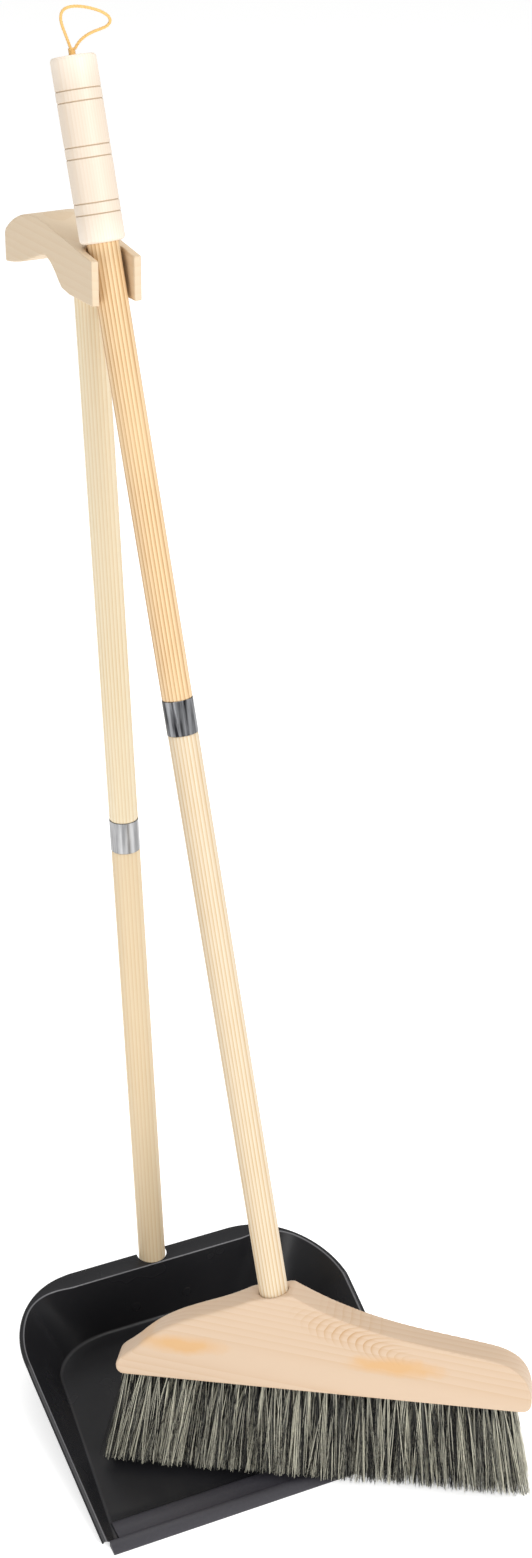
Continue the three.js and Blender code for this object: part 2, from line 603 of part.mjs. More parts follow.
function broomHead() {
  const blank = new THREE.ExtrudeGeometry(headShape(), {
    depth: HEAD_THICKNESS - 2 * HEAD_ROUNDING,
    bevelEnabled: true,
    bevelThickness: HEAD_ROUNDING,
    bevelSize: HEAD_ROUNDING,
    bevelOffset: -HEAD_ROUNDING,
    bevelSegments: 3,
    curveSegments: 12,
  });
  blank.translate(0, 0, HEAD_ROUNDING - HEAD_THICKNESS / 2).rotateX(Math.PI / 2);
  const socket = rod(POLE_RADIUS + GAP, poleFoot - GAP, poleFoot + 160).applyMatrix4(broomToHead);
  const screw = rod(RIVET_DIAMETER / 2 + GAP, poleFoot - 100, poleFoot + 1, 20).applyMatrix4(broomToHead);
  return geometryOf(solid(blank).subtract(solid(socket)).subtract(solid(screw)));
}
add(head, 'broom_head', broomHead(), palePine);

add(broom, 'head_screw', rod(RIVET_DIAMETER / 2, poleFoot - 22, poleFoot + 26, 20), steelBright);

// ---------- bristles: rows of hair tufts, fanned out and trimmed level at the tips ----------
broom.updateMatrix();
const setToHead = broom.matrix.clone().multiply(head.matrix).invert();
const aboveTips = solid(box(-600, 600, -600, 600, TIP_HEIGHT, 1200).applyMatrix4(setToHead));

// tips part round the pan's walls by this much wherever they meet them
const offWalls = [[-GAP, 0], [GAP, 0], [0, -GAP], [0, GAP]].map(([x, y]) => (
  solid(geometryOf(shell).translate(x, y, 0).applyMatrix4(setToHead))));

function tuftRow(row) {
  const place = row - (BRISTLE_ROWS - 1) / 2;
  const rootY = place * (ROW_THICKNESS + ROW_GAP);
  const tipY = place * (TIP_THICKNESS + ROW_GAP);
  const left = -HEAD_SHORT_END + BRISTLE_INSET_SHORT;
  const right = HEAD_LONG_END - BRISTLE_INSET_LONG;
  const rectangle = (x0, x1, y, thickness, z) => [[x0, -1], [x1, -1], [x1, 1], [x0, 1]].map(
    ([x, side]) => new THREE.Vector3(x, y + side * thickness / 2, z));
  const root = HEAD_BOTTOM - GAP;
  const tips = rectangle(left - BRISTLE_FAN_SHORT_END, right + BRISTLE_FAN_LONG_END, tipY,
    TIP_THICKNESS, root - BRISTLE_LENGTH_SHORT_END);
  for (const p of tips.filter(({ x }) => x > 0)) p.z = root - BRISTLE_LENGTH_LONG_END;
  const roots = rectangle(left, right, rootY, ROW_THICKNESS, root);
  const tufts = solid(loft([tips, roots])).intersect(aboveTips);
  return geometryOf(offWalls.reduce((left, wall) => left.subtract(wall), tufts));
}
for (let row = 0; row < BRISTLE_ROWS; row++) {
  add(head, `bristle_row_${row + 1}`, tuftRow(row), hair);
}

// ---------- hanging loop ----------
const tieFoot = GRIP_LENGTH + GAP;
add(broom, 'loop_tie', turned([[0, tieFoot], [TIE_DIAMETER / 2, tieFoot],
  [TIE_DIAMETER / 2, tieFoot + TIE_HEIGHT], [0, tieFoot + TIE_HEIGHT]], 16), goldCord);

// Route of the cord from the tie and back to it, from the middle of the grip's top.
const loopRoute = [
  [-1.2, 0.4, 5.0], [-2.4, 0.9, 9], [-4.4, 1.6, 15], [-6.2, 2.2, 20.5], [-7.2, 2.6, 25.5],
  [-6.6, 2.4, 30], [-3.8, 1.4, 33.2], [1.2, -0.4, 34.6], [7.5, -2.7, 34.4], [14.2, -5.1, 33],
  [20.2, -7.2, 30.8], [24.6, -8.8, 27.8], [26, -9.3, 24.2], [23.8, -8.5, 20.8], [19.2, -6.9, 18.6],
  [14.2, -5.1, 16.6], [9.4, -3.4, 13.9], [5.6, -2, 10.6], [3.1, -1.1, 7.2], [1.8, -0.6, 4.6],
];
const gripTop = new THREE.Vector3(0, 0, GRIP_LENGTH).applyMatrix4(broom.matrix);

function hangingLoop() {
  const path = new THREE.CatmullRomCurve3(loopRoute.map(([x, y, z]) => (
    new THREE.Vector3(x, y, z).add(gripTop))));
  const section = new THREE.Shape();
  section.absarc(0, 0, LOOP_DIAMETER / 2, 0, Math.PI * 2, false);
  return new THREE.ExtrudeGeometry(section, {
    steps: 26, extrudePath: path, curveSegments: 4, bevelEnabled: false,
  });
}
add(set, 'hanging_loop', hangingLoop(), goldCord);

export default set;
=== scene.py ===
import math
import random

import bmesh
import bpy
from mathutils import Matrix, Vector


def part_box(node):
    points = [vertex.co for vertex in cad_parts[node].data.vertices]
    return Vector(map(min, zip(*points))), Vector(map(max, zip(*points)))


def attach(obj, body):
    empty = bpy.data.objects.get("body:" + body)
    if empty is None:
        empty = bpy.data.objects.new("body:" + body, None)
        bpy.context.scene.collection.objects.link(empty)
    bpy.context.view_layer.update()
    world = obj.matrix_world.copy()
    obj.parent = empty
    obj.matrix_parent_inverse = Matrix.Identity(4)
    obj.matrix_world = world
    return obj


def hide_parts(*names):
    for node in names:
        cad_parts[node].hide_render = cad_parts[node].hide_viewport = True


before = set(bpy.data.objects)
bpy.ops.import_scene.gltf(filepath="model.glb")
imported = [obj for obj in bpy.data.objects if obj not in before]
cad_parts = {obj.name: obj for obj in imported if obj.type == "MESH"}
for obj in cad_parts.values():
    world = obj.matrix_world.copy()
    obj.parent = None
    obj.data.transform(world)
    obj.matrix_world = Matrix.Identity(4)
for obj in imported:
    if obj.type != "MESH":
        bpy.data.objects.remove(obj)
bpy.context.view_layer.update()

# ---------------------------------------------------------------------------------------
# Camera. It looks down on the pan's mouth from the front and a little to the left.
# ---------------------------------------------------------------------------------------
TURN, TILT, ROLL = math.radians(24.61), math.radians(30.57), math.radians(0.77)

lens = bpy.data.cameras.new("camera")
lens.lens = 55.3
lens.sensor_width = 36
camera = bpy.data.objects.new("camera", lens)
bpy.context.scene.collection.objects.link(camera)
camera.matrix_world = (
    Matrix.Translation((-0.6022, -1.4103, 1.5407))
    @ Matrix.Rotation(-TURN, 4, "Z")
    @ Matrix.Rotation(math.pi / 2 - TILT, 4, "X")
    @ Matrix.Rotation(ROLL, 4, "Z")
)
bpy.context.scene.camera = camera

# ---------------------------------------------------------------------------------------
# Hanging loop. A limp twisted gold cord, both its ends let into the top of the broom's grip,
# with a short whipping of the same cord round them where they go into the wood.
# ---------------------------------------------------------------------------------------
MM = 0.001
CORD_DIAMETER = 2.3 * MM
CORD_STRANDS = 3
CORD_TWIST = 0.007          # length of one full turn of the lay
CORD_SIDES = 18
CORD_GOLD = (0.92, 0.62, 0.22, 1)
CORD_SHADE = (0.58, 0.31, 0.08, 1)

# the broom's own frame: its pole along Z, the underside of the grip at the origin
BROOM_LEAN_BACK, BROOM_LEAN_SIDE, BROOM_SPIN = (
    math.radians(-17.58), math.radians(-2.16), math.radians(-30.8))
GRIP_LENGTH = 133 * MM
TIE_HEIGHT = 4 * MM
TIE_FOOT = GRIP_LENGTH + 0.3 * MM
LOOP_STEPS = 16             # points laid between two of the route's points
STRAND_SWELL = 0.14         # how far a strand stands out, as a share of the cord's radius

broom_turn = (
    Matrix.Rotation(BROOM_LEAN_BACK, 4, "X")
    @ Matrix.Rotation(BROOM_LEAN_SIDE, 4, "Y")
    @ Matrix.Rotation(BROOM_SPIN, 4, "Z")
)


def middle_of(node):
    low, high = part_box(node)
    return (low + high) / 2


tie_middle = Vector((0, 0, TIE_FOOT + TIE_HEIGHT / 2))
broom_place = Matrix.Translation(middle_of("loop_tie") - broom_turn @ tie_middle) @ broom_turn
grip_top = broom_place @ Vector((0, 0, GRIP_LENGTH))

# from the middle of the grip's top, in millimetres
LOOP_ROUTE = [
    (-1.2, 0.4, 5.0), (-2.4, 0.9, 9), (-4.4, 1.6, 15), (-6.2, 2.2, 20.5), (-7.2, 2.6, 25.5),
    (-6.6, 2.4, 30), (-3.8, 1.4, 33.2), (1.2, -0.4, 34.6), (7.5, -2.7, 34.4), (14.2, -5.1, 33),
    (20.2, -7.2, 30.8), (24.6, -8.8, 27.8), (26, -9.3, 24.2), (23.8, -8.5, 20.8),
    (19.2, -6.9, 18.6), (14.2, -5.1, 16.6), (9.4, -3.4, 13.9), (5.6, -2, 10.6),
    (3.1, -1.1, 7.2), (1.8, -0.6, 4.6),
]


def new_piece(name, vertices, faces, place=Matrix.Identity(4)):
    mesh = bpy.data.meshes.new(name)
    mesh.from_pydata([tuple(v) for v in vertices], [], faces)
    mesh.update()
    piece = bpy.data.objects.new(name, mesh)
    bpy.context.scene.collection.objects.link(piece)
    piece.matrix_world = place
    return piece


def smooth_shade(piece, sharp_from=40):
    mesh = piece.data
    mesh.polygons.foreach_set("use_smooth", [True] * len(mesh.polygons))
    mesh.set_sharp_from_angle(angle=math.radians(sharp_from))
    mesh.update()


def through_points(points, per_span):
    """Points on a smooth curve through the given ones."""
    ends = [points[0] * 2 - points[1]] + points + [points[-1] * 2 - points[-2]]
    line = []
    for i in range(1, len(ends) - 2):
        p0, p1, p2, p3 = ends[i - 1:i + 3]
        for k in range(per_span):
            t = k / per_span
            line.append(0.5 * ((p1 * 2) + (p2 - p0) * t + (p0 * 2 - p1 * 5 + p2 * 4 - p3) * t * t
                               + (p1 * 3 - p0 - p2 * 3 + p3) * t ** 3))
    line.append(points[-1].copy())
    return line


def twisted_tube(name, line):
    """Tube along a line, its skin fluted by the strands that turn round it."""
    vertices, faces = [], []
    across = (line[1] - line[0]).orthogonal().normalized()
    run = 0.0
    for i, point in enumerate(line):
        ahead = line[min(i + 1, len(line) - 1)] - line[max(i - 1, 0)]
        ahead.normalize()
        across = (across - ahead * across.dot(ahead)).normalized()
        side = ahead.cross(across)
        if i:
            run += (point - line[i - 1]).length
        for k in range(CORD_SIDES):
            angle = 2 * math.pi * k / CORD_SIDES
            lay = abs(math.cos((angle - 2 * math.pi * run / CORD_TWIST) * CORD_STRANDS / 2))
            radius = CORD_DIAMETER / 2 * (1 - STRAND_SWELL + STRAND_SWELL * lay)
            vertices.append(point + (across * math.cos(angle) + side * math.sin(angle)) * radius)
        if i:
            a, b = (i - 1) * CORD_SIDES, i * CORD_SIDES
            for k in range(CORD_SIDES):
                n = (k + 1) % CORD_SIDES
                faces.append((a + k, a + n, b + n, b + k))
    last = len(vertices) - CORD_SIDES
    faces.append(tuple(reversed(range(CORD_SIDES))))
    faces.append(tuple(range(last, last + CORD_SIDES)))
    return new_piece(name, vertices, faces)


def material(name):
    """A new material, its node tree and its Principled shader."""
    made = bpy.data.materials.new(name)
    made.use_nodes = True
    return made, made.node_tree, made.node_tree.nodes["Principled BSDF"]


def put(tree, kind, links=(), **values):
    """A node of that kind, with values for its settings and links into its sockets."""
    made = tree.nodes.new(kind)
    for key, value in values.items():
        if hasattr(made, key):
            setattr(made, key, value)
        else:
            made.inputs[key.replace("_", " ")].default_value = value
    for socket, source in dict(links).items():
        tree.links.new(source, made.inputs[socket])
    return made


def blend_colours(tree, mask, first, second):
    """Colour between two, by a mask: each is a plain colour or a socket."""
    mix = put(tree, "ShaderNodeMix", data_type="RGBA")
    tree.links.new(mask, mix.inputs[0])
    for slot, colour in ((6, first), (7, second)):
        if isinstance(colour, bpy.types.NodeSocket):
            tree.links.new(colour, mix.inputs[slot])
        else:
            mix.inputs[slot].default_value = colour
    return mix.outputs[2]


def effect(name, inputs, outputs):
    """An empty shader node group with those inputs and outputs."""
    group = bpy.data.node_groups.new(name, "ShaderNodeTree")
    for label, kind, value in inputs:
        socket = group.interface.new_socket(label, in_out="INPUT", socket_type=kind)
        if value is not None:
            socket.default_value = value
    for label, kind in outputs:
        group.interface.new_socket(label, in_out="OUTPUT", socket_type=kind)
    return group, group.nodes.new("NodeGroupInput"), group.nodes.new("NodeGroupOutput")


def use(tree, group, links=(), **values):
    """One of our node groups placed in a tree, with its values and links."""
    made = tree.nodes.new("ShaderNodeGroup")
    made.node_tree = group
    for key, value in values.items():
        made.inputs[key.replace("_", " ")].default_value = value
    for socket, source in dict(links).items():
        tree.links.new(source, made.inputs[socket])
    return made


# fine unevenness of a surface: two sizes of noise, as a mask and a height
unevenness, given, result = effect(
    "unevenness",
    [("Vector", "NodeSocketVector", None), ("Size", "NodeSocketFloat", 200.0),
     ("Fine", "NodeSocketFloat", 4.0)],
    [("Mask", "NodeSocketFloat"), ("Height", "NodeSocketFloat")])
coarse = put(unevenness, "ShaderNodeTexNoise",
             {"Vector": given.outputs["Vector"], "Scale": given.outputs["Size"]}, Detail=3.0)
finer = put(unevenness, "ShaderNodeMath",
            {0: given.outputs["Size"], 1: given.outputs["Fine"]}, operation="MULTIPLY")
small = put(unevenness, "ShaderNodeTexNoise",
            {"Vector": given.outputs["Vector"], "Scale": finer.outputs[0]}, Detail=2.0)
both = put(unevenness, "ShaderNodeMath",
           {0: coarse.outputs["Fac"], 1: small.outputs["Fac"]}, operation="ADD")
half_of = put(unevenness, "ShaderNodeMath", {0: both.outputs[0]}, operation="MULTIPLY")
half_of.inputs[1].default_value = 0.5
unevenness.links.new(coarse.outputs["Fac"], result.inputs["Mask"])
unevenness.links.new(half_of.outputs[0], result.inputs["Height"])


def own_points(tree):
    """The piece's own coordinates, so that a pattern moves with it."""
    return put(tree, "ShaderNodeTexCoord").outputs["Object"]


def raise_normal(tree, shader, height, strength, distance):
    bump = put(tree, "ShaderNodeBump", {"Height": height}, Strength=strength, Distance=distance)
    tree.links.new(bump.outputs["Normal"], shader.inputs["Normal"])


def spread(tree, value, low, high):
    """A 0 to 1 value stretched to run from low to high."""
    made = put(tree, "ShaderNodeMapRange", {"Value": value})
    made.inputs["To Min"].default_value = low
    made.inputs["To Max"].default_value = high
    return made.outputs["Result"]


def roughen(tree, shader, value, low, high):
    """Roughness that runs from low to high with a 0 to 1 value."""
    tree.links.new(spread(tree, value, low, high), shader.inputs["Roughness"])


gold_cord, tree, shader = material("gold_cord")
fibres = use(tree, unevenness, {"Vector": own_points(tree)}, Size=900.0, Fine=4.0)
tree.links.new(blend_colours(tree, fibres.outputs["Mask"], CORD_SHADE, CORD_GOLD),
               shader.inputs["Base Color"])
roughen(tree, shader, fibres.outputs["Height"], low=0.5, high=0.75)
shader.inputs["Sheen Weight"].default_value = 0.25
raise_normal(tree, shader, fibres.outputs["Height"], strength=0.5, distance=0.2 * MM)

loop_line = through_points([grip_top + Vector(p) * MM for p in LOOP_ROUTE], LOOP_STEPS)
loop = twisted_tube("hanging_loop_cord", loop_line)
smooth_shade(loop, sharp_from=75)
loop.data.materials.append(gold_cord)
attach(loop, "broom")
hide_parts("hanging_loop")


def turned(name, profile, place, sides=72):
    """Piece turned about its own Z: the profile is (radius, height) from its foot to its top."""
    vertices, faces, rings = [], [], []
    for radius, height in profile:
        if radius == 0:
            rings.append([len(vertices)])
            vertices.append((0, 0, height))
            continue
        rings.append(list(range(len(vertices), len(vertices) + sides)))
        for k in range(sides):
            angle = 2 * math.pi * k / sides
            vertices.append((radius * math.cos(angle), radius * math.sin(angle), height))
    for low, high in zip(rings, rings[1:]):
        for k in range(sides):
            n = (k + 1) % sides
            if len(low) == 1:
                faces.append((low[0], high[n], high[k]))
            elif len(high) == 1:
                faces.append((low[k], low[n], high[0]))
            else:
                faces.append((low[k], low[n], high[n], high[k]))
    piece = new_piece(name, vertices, faces, place)
    smooth_shade(piece)
    return piece


# whipping: four close turns of cord round the loop's foot
TIE_RADIUS = 2.7 * MM
TIE_TURNS = 4
TIE_STEPS = 6               # points laid over one turn
TIE_SWELL = 0.16            # how far a turn bulges, as a share of the radius
TIE_SHOULDER = TIE_HEIGHT + 0.9 * MM
TIE_TIP = TIE_HEIGHT + 1.2 * MM
whipping = [(0, TIE_FOOT)]
for k in range(TIE_TURNS * TIE_STEPS + 1):
    lift = k / (TIE_TURNS * TIE_STEPS)
    bulge = abs(math.sin(math.pi * lift * TIE_TURNS))
    whipping.append((TIE_RADIUS * (1 - TIE_SWELL + TIE_SWELL * bulge),
                     TIE_FOOT + lift * TIE_SHOULDER))
whipping.append((0, TIE_FOOT + TIE_TIP))
tie = turned("loop_whipping", whipping, broom_place, sides=36)
tie.data.materials.append(gold_cord)
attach(tie, "broom")
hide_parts("loop_tie")

# ---------------------------------------------------------------------------------------
# Surroundings. A plain pale floor under soft studio lights: a big softbox in front, one
# overhead, and a weaker one that fills the left.
# ---------------------------------------------------------------------------------------
FLOOR_REACH = 16
FLOOR_BELOW = -0.4 * MM
floor = new_piece("studio_floor", [(x, y, FLOOR_BELOW) for x, y in (
    (-FLOOR_REACH, -FLOOR_REACH), (FLOOR_REACH, -FLOOR_REACH),
    (FLOOR_REACH, FLOOR_REACH), (-FLOOR_REACH, FLOOR_REACH))], [(0, 1, 2, 3)])
floor_paint, tree, shader = material("studio_floor")
shader.inputs["Base Color"].default_value = (0.80, 0.80, 0.795, 1)
shader.inputs["Emission Color"].default_value = (1, 1, 1, 1)
shader.inputs["Emission Strength"].default_value = 0.60
shader.inputs["Roughness"].default_value = 0.9
shader.inputs["Specular IOR Level"].default_value = 0.1
floor.data.materials.append(floor_paint)

world = bpy.data.worlds.new("studio")
world.use_nodes = True
world.node_tree.nodes["Background"].inputs["Color"].default_value = (1, 1, 1, 1)
world.node_tree.nodes["Background"].inputs["Strength"].default_value = 0.42
bpy.context.scene.world = world
bpy.context.scene.view_settings.view_transform = "Standard"

LIGHTS_AIM = Vector((0, 0.05, 0.4))
for name, stand, size, power in (
    ("softbox_front", (0.9, -3.0, 2.6), 1.6, 86),
    ("softbox_left", (-2.4, -1.3, 0.8), 1.4, 17),
    ("softbox_overhead", (0.2, 0.9, 3.4), 2.4, 48),
):
    softbox = bpy.data.lights.new(name, "AREA")
    softbox.size = size
    softbox.energy = power
    light = bpy.data.objects.new(name, softbox)
    bpy.context.scene.collection.objects.link(light)
    light.location = stand
    aim = LIGHTS_AIM - Vector(stand)
    light.rotation_euler = aim.to_track_quat("-Z", "Y").to_euler()

# ---------------------------------------------------------------------------------------
# Dustpan shell. One sheet of steel pressed to shape: flat floor, sloping walls, a flange
# along the back that narrows to a hem down the sides, all powder coated in satin black.
# ---------------------------------------------------------------------------------------
SHEET = 1.2 * MM
FLOOR_DEPTH = 231 * MM
FLOOR_FRONT_HALF = 136 * MM
FLOOR_BACK_HALF = 115 * MM
FLOOR_CORNER = (60 * MM, 46 * MM)
RIM_DEPTH = 261 * MM
RIM_FRONT_HALF = 147.5 * MM
RIM_BACK_HALF = 153 * MM
RIM_CORNER = (74 * MM, 98 * MM)
MOUTH_HEIGHT = 6.2 * MM
BACK_HEIGHT = 55.5 * MM
FLANGE_WIDTH = 17.8 * MM
HEM_WIDTH = 3 * MM
JOGGLE_DEPTH = 21 * MM      # the floor steps up here over the rubber strip
JOGGLE_RISE = 1.5 * MM
JOGGLE_RUN = 3 * MM         # length of the step itself
JOGGLE_FADE = 5 * MM        # height over which the walls lose the step
FLOOR_MARGIN = 12 * MM      # width of the ring of faces between the wall's foot and the floor
FLANGE_FADE = 0.75          # share of the corner over which the flange narrows to the hem
NOTCH_RADIUS = 13.6 * MM
FLOOR_FILLET = 2.4 * MM
RIM_FILLET = 1.1 * MM
HEM_ROLL = 1.5 * MM
FLOOR_FILLET_STEPS, RIM_FILLET_STEPS, HEM_STEPS = 5, 4, 6
WALL_SHARES = (0.35, 0.5, 0.65)     # where points stand up the wall
FLANGE_SHARE = 0.6                  # and across the flange
SIDE_ROWS, CORNER_ROWS, BACK_COLUMNS = 30, 30, 48
EASING_PASSES = 6           # the side runs into the corner without a kink
PAN_FRONT_Y = -FLOOR_DEPTH / 2
COAT_BLACK = (0.011, 0.011, 0.0125, 1)
COAT_WORN = (0.017, 0.017, 0.019, 1)
# painted highlight: the pale grey laid along the creases stands in for the light they catch
CREASE_HIGHLIGHT_PAINT = (0.16, 0.16, 0.17, 1)


def half_outline(front_half, back_half, depth, corner):
    """Right half of the pan's outline seen from above, from its front to the middle's start."""
    side_end = depth - corner[1]
    line = [Vector((front_half + (back_half - front_half) * i / SIDE_ROWS,
                    side_end * i / SIDE_ROWS)) for i in range(SIDE_ROWS + 1)]
    for i in range(1, CORNER_ROWS + 1):
        angle = i / CORNER_ROWS * math.pi / 2
        line.append(Vector((back_half - corner[0] * (1 - math.cos(angle)),
                            side_end + corner[1] * math.sin(angle))))
    for _ in range(EASING_PASSES):
        eased = [(a + b * 2 + c) / 4 for a, b, c in zip(line, line[1:], line[2:])]
        line = [line[0]] + eased + [line[-1]]
    return line


def inward_of(line):
    """Unit directions across the outline, towards the pan's middle."""
    found = []
    for i in range(len(line)):
        along = line[min(i + 1, len(line) - 1)] - line[max(i - 1, 0)]
        found.append(Vector((-along.y, along.x)).normalized())
    found[0] = Vector((-1, 0))
    found[-1] = Vector((0, -1))
    return found


def smooth_step(share):
    """0 to 1 with a soft start and end, from any share."""
    t = min(max(share, 0), 1)
    return t * t * (3 - 2 * t)


def rim_height(y):
    """Height of the pan's edge at that distance from its mouth."""
    along = min(max(y / (RIM_DEPTH - RIM_CORNER[1]), 0), 1)
    return MOUTH_HEIGHT + (BACK_HEIGHT - MOUTH_HEIGHT) * along


def flange_width(p):
    """Width of the flange at a point of the rim: full at the back, only the hem at the sides."""
    past_corner = (abs(p.x) - (RIM_BACK_HALF - RIM_CORNER[0])) / (RIM_CORNER[0] * FLANGE_FADE)
    side = 1 if p.y < RIM_DEPTH - RIM_CORNER[1] else smooth_step(past_corner)
    return FLANGE_WIDTH + (HEM_WIDTH - FLANGE_WIDTH) * side


def joggle(y, z):
    """How far the step at the mouth lifts a point."""
    ahead = (JOGGLE_DEPTH + JOGGLE_RUN / 2 - y) / JOGGLE_RUN
    return JOGGLE_RISE * smooth_step(ahead) * max(0, 1 - (z - SHEET) / JOGGLE_FADE)


def filleted(before, corner, after, radius, steps):
    """Points round a corner in place of the corner itself."""
    first = corner + (before - corner).normalized() * min(radius, (before - corner).length * 0.45)
    last = corner + (after - corner).normalized() * min(radius, (after - corner).length * 0.45)
    return [first.lerp(corner, t).lerp(corner.lerp(last, t), t)
            for t in (k / steps for k in range(steps + 1))]


def wall_section(foot, foot_in, rim, rim_in):
    """Points from the floor, up the wall, over the flange and round its rolled hem."""
    width = flange_width(rim)
    crease = rim + rim_in * width
    high = rim_height(crease.y)
    on_floor = foot + foot_in * FLOOR_MARGIN
    lower = foot + foot_in * SHEET
    upper = crease + rim_in * SHEET
    roll = rim + rim_in * HEM_ROLL
    floor_point = Vector((on_floor.x, on_floor.y, SHEET))
    low_corner = Vector((lower.x, lower.y, SHEET))
    high_corner = Vector((upper.x, upper.y, high))
    roll_top = Vector((roll.x, roll.y, rim_height(rim.y)))
    points = [floor_point]
    points += filleted(floor_point, low_corner, high_corner, FLOOR_FILLET, FLOOR_FILLET_STEPS)
    points += [low_corner.lerp(high_corner, t) for t in WALL_SHARES]
    points += filleted(low_corner, high_corner, roll_top, RIM_FILLET, RIM_FILLET_STEPS)
    points.append(high_corner.lerp(roll_top, FLANGE_SHARE))
    outward = Vector((-rim_in.x, -rim_in.y, 0))
    for k in range(HEM_STEPS + 1):
        angle = math.pi / 2 - k * math.pi / HEM_STEPS
        points.append(roll_top + outward * math.cos(angle) * HEM_ROLL
                      + Vector((0, 0, (math.sin(angle) - 1) * HEM_ROLL)))
    return [Vector((p.x, p.y + PAN_FRONT_Y, p.z + joggle(p.y, p.z))) for p in points]


foot_line = half_outline(FLOOR_FRONT_HALF, FLOOR_BACK_HALF, FLOOR_DEPTH, FLOOR_CORNER)
rim_line = half_outline(RIM_FRONT_HALF, RIM_BACK_HALF, RIM_DEPTH, RIM_CORNER)
right_half = [wall_section(f, fi, r, ri) for f, fi, r, ri in zip(
    foot_line, inward_of(foot_line), rim_line, inward_of(rim_line))]
left_half = [[Vector((-p.x, p.y, p.z)) for p in section] for section in right_half]
back = []
for k in range(1, BACK_COLUMNS):
    t = k / BACK_COLUMNS
    back.append([a.lerp(b, t) for a, b in zip(right_half[-1], left_half[-1])])
sections = right_half + back + left_half[::-1]

vertices = [p for section in sections for p in section]
faces = []
across = len(sections[0])
for i in range(len(sections) - 1):
    for k in range(across - 1):
        a, b = i * across + k, (i + 1) * across + k
        faces.append((a, b, b + 1, a + 1))
for right, left in zip(right_half[:-1], left_half[:-1]):
    for k in range(BACK_COLUMNS + 1):
        vertices.append(right[0].lerp(left[0], k / BACK_COLUMNS))
floor_start = len(sections) * across
last_row = [(len(right_half) - 1 + k) * across for k in range(BACK_COLUMNS + 1)]
for j in range(len(right_half) - 1):
    row = [floor_start + j * (BACK_COLUMNS + 1) + k for k in range(BACK_COLUMNS + 1)]
    behind = ([v + BACK_COLUMNS + 1 for v in row] if j < len(right_half) - 2 else last_row)
    for k in range(BACK_COLUMNS):
        faces.append((row[k], behind[k], behind[k + 1], row[k + 1]))

pan = new_piece("pan_pressing", vertices, faces)

# painted highlight: the coat is painted pale along the pressed creases, in place of the light
# their rounded bends catch: the value of each point of a section
RIM_CREASE_HIGHLIGHT, FLOOR_CREASE_HIGHLIGHT = 1.0, 0.18
crease_highlight_tones = ([0.0] + [FLOOR_CREASE_HIGHLIGHT * t for t in (0, 0.5, 1, 1, 0.5, 0)]
                 + [0.0] * len(WALL_SHARES) + [RIM_CREASE_HIGHLIGHT * t for t in (0, 0.6, 1, 0.6, 0)]
                 + [0.0] * (HEM_STEPS + 2))
pan.data.attributes.new("crease", "FLOAT", "POINT").data.foreach_set(
    "value", crease_highlight_tones * len(sections) + [0.0] * (len(vertices) - len(sections) * across))


def settle(piece, sharp_from=None):
    """Applies the piece's modifiers, so that its mesh is what they make of it."""
    seen = piece.evaluated_get(bpy.context.evaluated_depsgraph_get())
    mesh = bpy.data.meshes.new_from_object(seen)
    piece.modifiers.clear()
    piece.data = mesh
    if sharp_from:
        smooth_shade(piece, sharp_from)


def join_close(piece, distance=1e-5):
    """Makes one point of points that lie together, and turns every face outwards."""
    work = bmesh.new()
    work.from_mesh(piece.data)
    bmesh.ops.remove_doubles(work, verts=work.verts, dist=distance)
    bmesh.ops.recalc_face_normals(work, faces=work.faces)
    work.to_mesh(piece.data)
    work.free()


def cut(piece, *cutters, keep="DIFFERENCE"):
    """Cuts a piece by others, which are then gone."""
    for cutter in cutters:
        step = piece.modifiers.new("cut", "BOOLEAN")
        step.operation = keep
        step.object = cutter
        step.solver = "EXACT"
        settle(piece)
        bpy.data.objects.remove(cutter)


join_close(pan)
upward = sum(p.area * p.normal.z for p in pan.data.polygons)
if upward < 0:
    pan.data.flip_normals()
thicken = pan.modifiers.new("sheet", "SOLIDIFY")
thicken.thickness = SHEET
thicken.offset = -1
settle(pan)


def cylinder(name, radius, low, high, place=Matrix.Identity(4), sides=64):
    return turned(name, [(0, low), (radius, low), (radius, high), (0, high)], place, sides)


def block(name, low, high, place=Matrix.Identity(4)):
    corners = [(x, y, z) for z in (low[2], high[2]) for y in (low[1], high[1])
               for x in (low[0], high[0])]
    return new_piece(name, corners, [(0, 2, 3, 1), (4, 5, 7, 6), (0, 1, 5, 4), (2, 6, 7, 3),
                                     (0, 4, 6, 2), (1, 3, 7, 5)], place)


# a round-ended notch in the back flange lets the dustpan's pole past
NOTCH_FROM, NOTCH_TO = 50 * MM, 80 * MM     # heights between which the notch is cut
BEHIND_PAN = 400 * MM
notch_centre = PAN_FRONT_Y + RIM_DEPTH - FLANGE_WIDTH + NOTCH_RADIUS
cut(pan,
    cylinder("notch_round", NOTCH_RADIUS, NOTCH_FROM, NOTCH_TO,
             Matrix.Translation((0, notch_centre, 0))),
    block("notch_slot", (-NOTCH_RADIUS, notch_centre, NOTCH_FROM),
          (NOTCH_RADIUS, BEHIND_PAN, NOTCH_TO)))
smooth_shade(pan, sharp_from=38)

powder_coat, tree, shader = material("powder_coat")
peel = use(tree, unevenness, {"Vector": own_points(tree)}, Size=700.0, Fine=3.0)
cloud = put(tree, "ShaderNodeTexNoise", {"Vector": own_points(tree)}, Scale=14.0, Detail=3.0)
coat = blend_colours(tree, cloud.outputs["Fac"], COAT_BLACK, COAT_WORN)
# painted highlight: the crease attribute blends the black coat to pale grey along the creases
crease_highlight_mask = put(tree, "ShaderNodeAttribute", attribute_name="crease")
tree.links.new(blend_colours(tree, crease_highlight_mask.outputs["Fac"], coat, CREASE_HIGHLIGHT_PAINT),
               shader.inputs["Base Color"])
roughen(tree, shader, cloud.outputs["Fac"], low=0.20, high=0.32)
shader.inputs["Specular IOR Level"].default_value = 0.32
raise_normal(tree, shader, peel.outputs["Height"], strength=0.22, distance=0.3 * MM)
pan.data.materials.append(powder_coat)
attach(pan, "dustpan")
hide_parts("pan_shell")

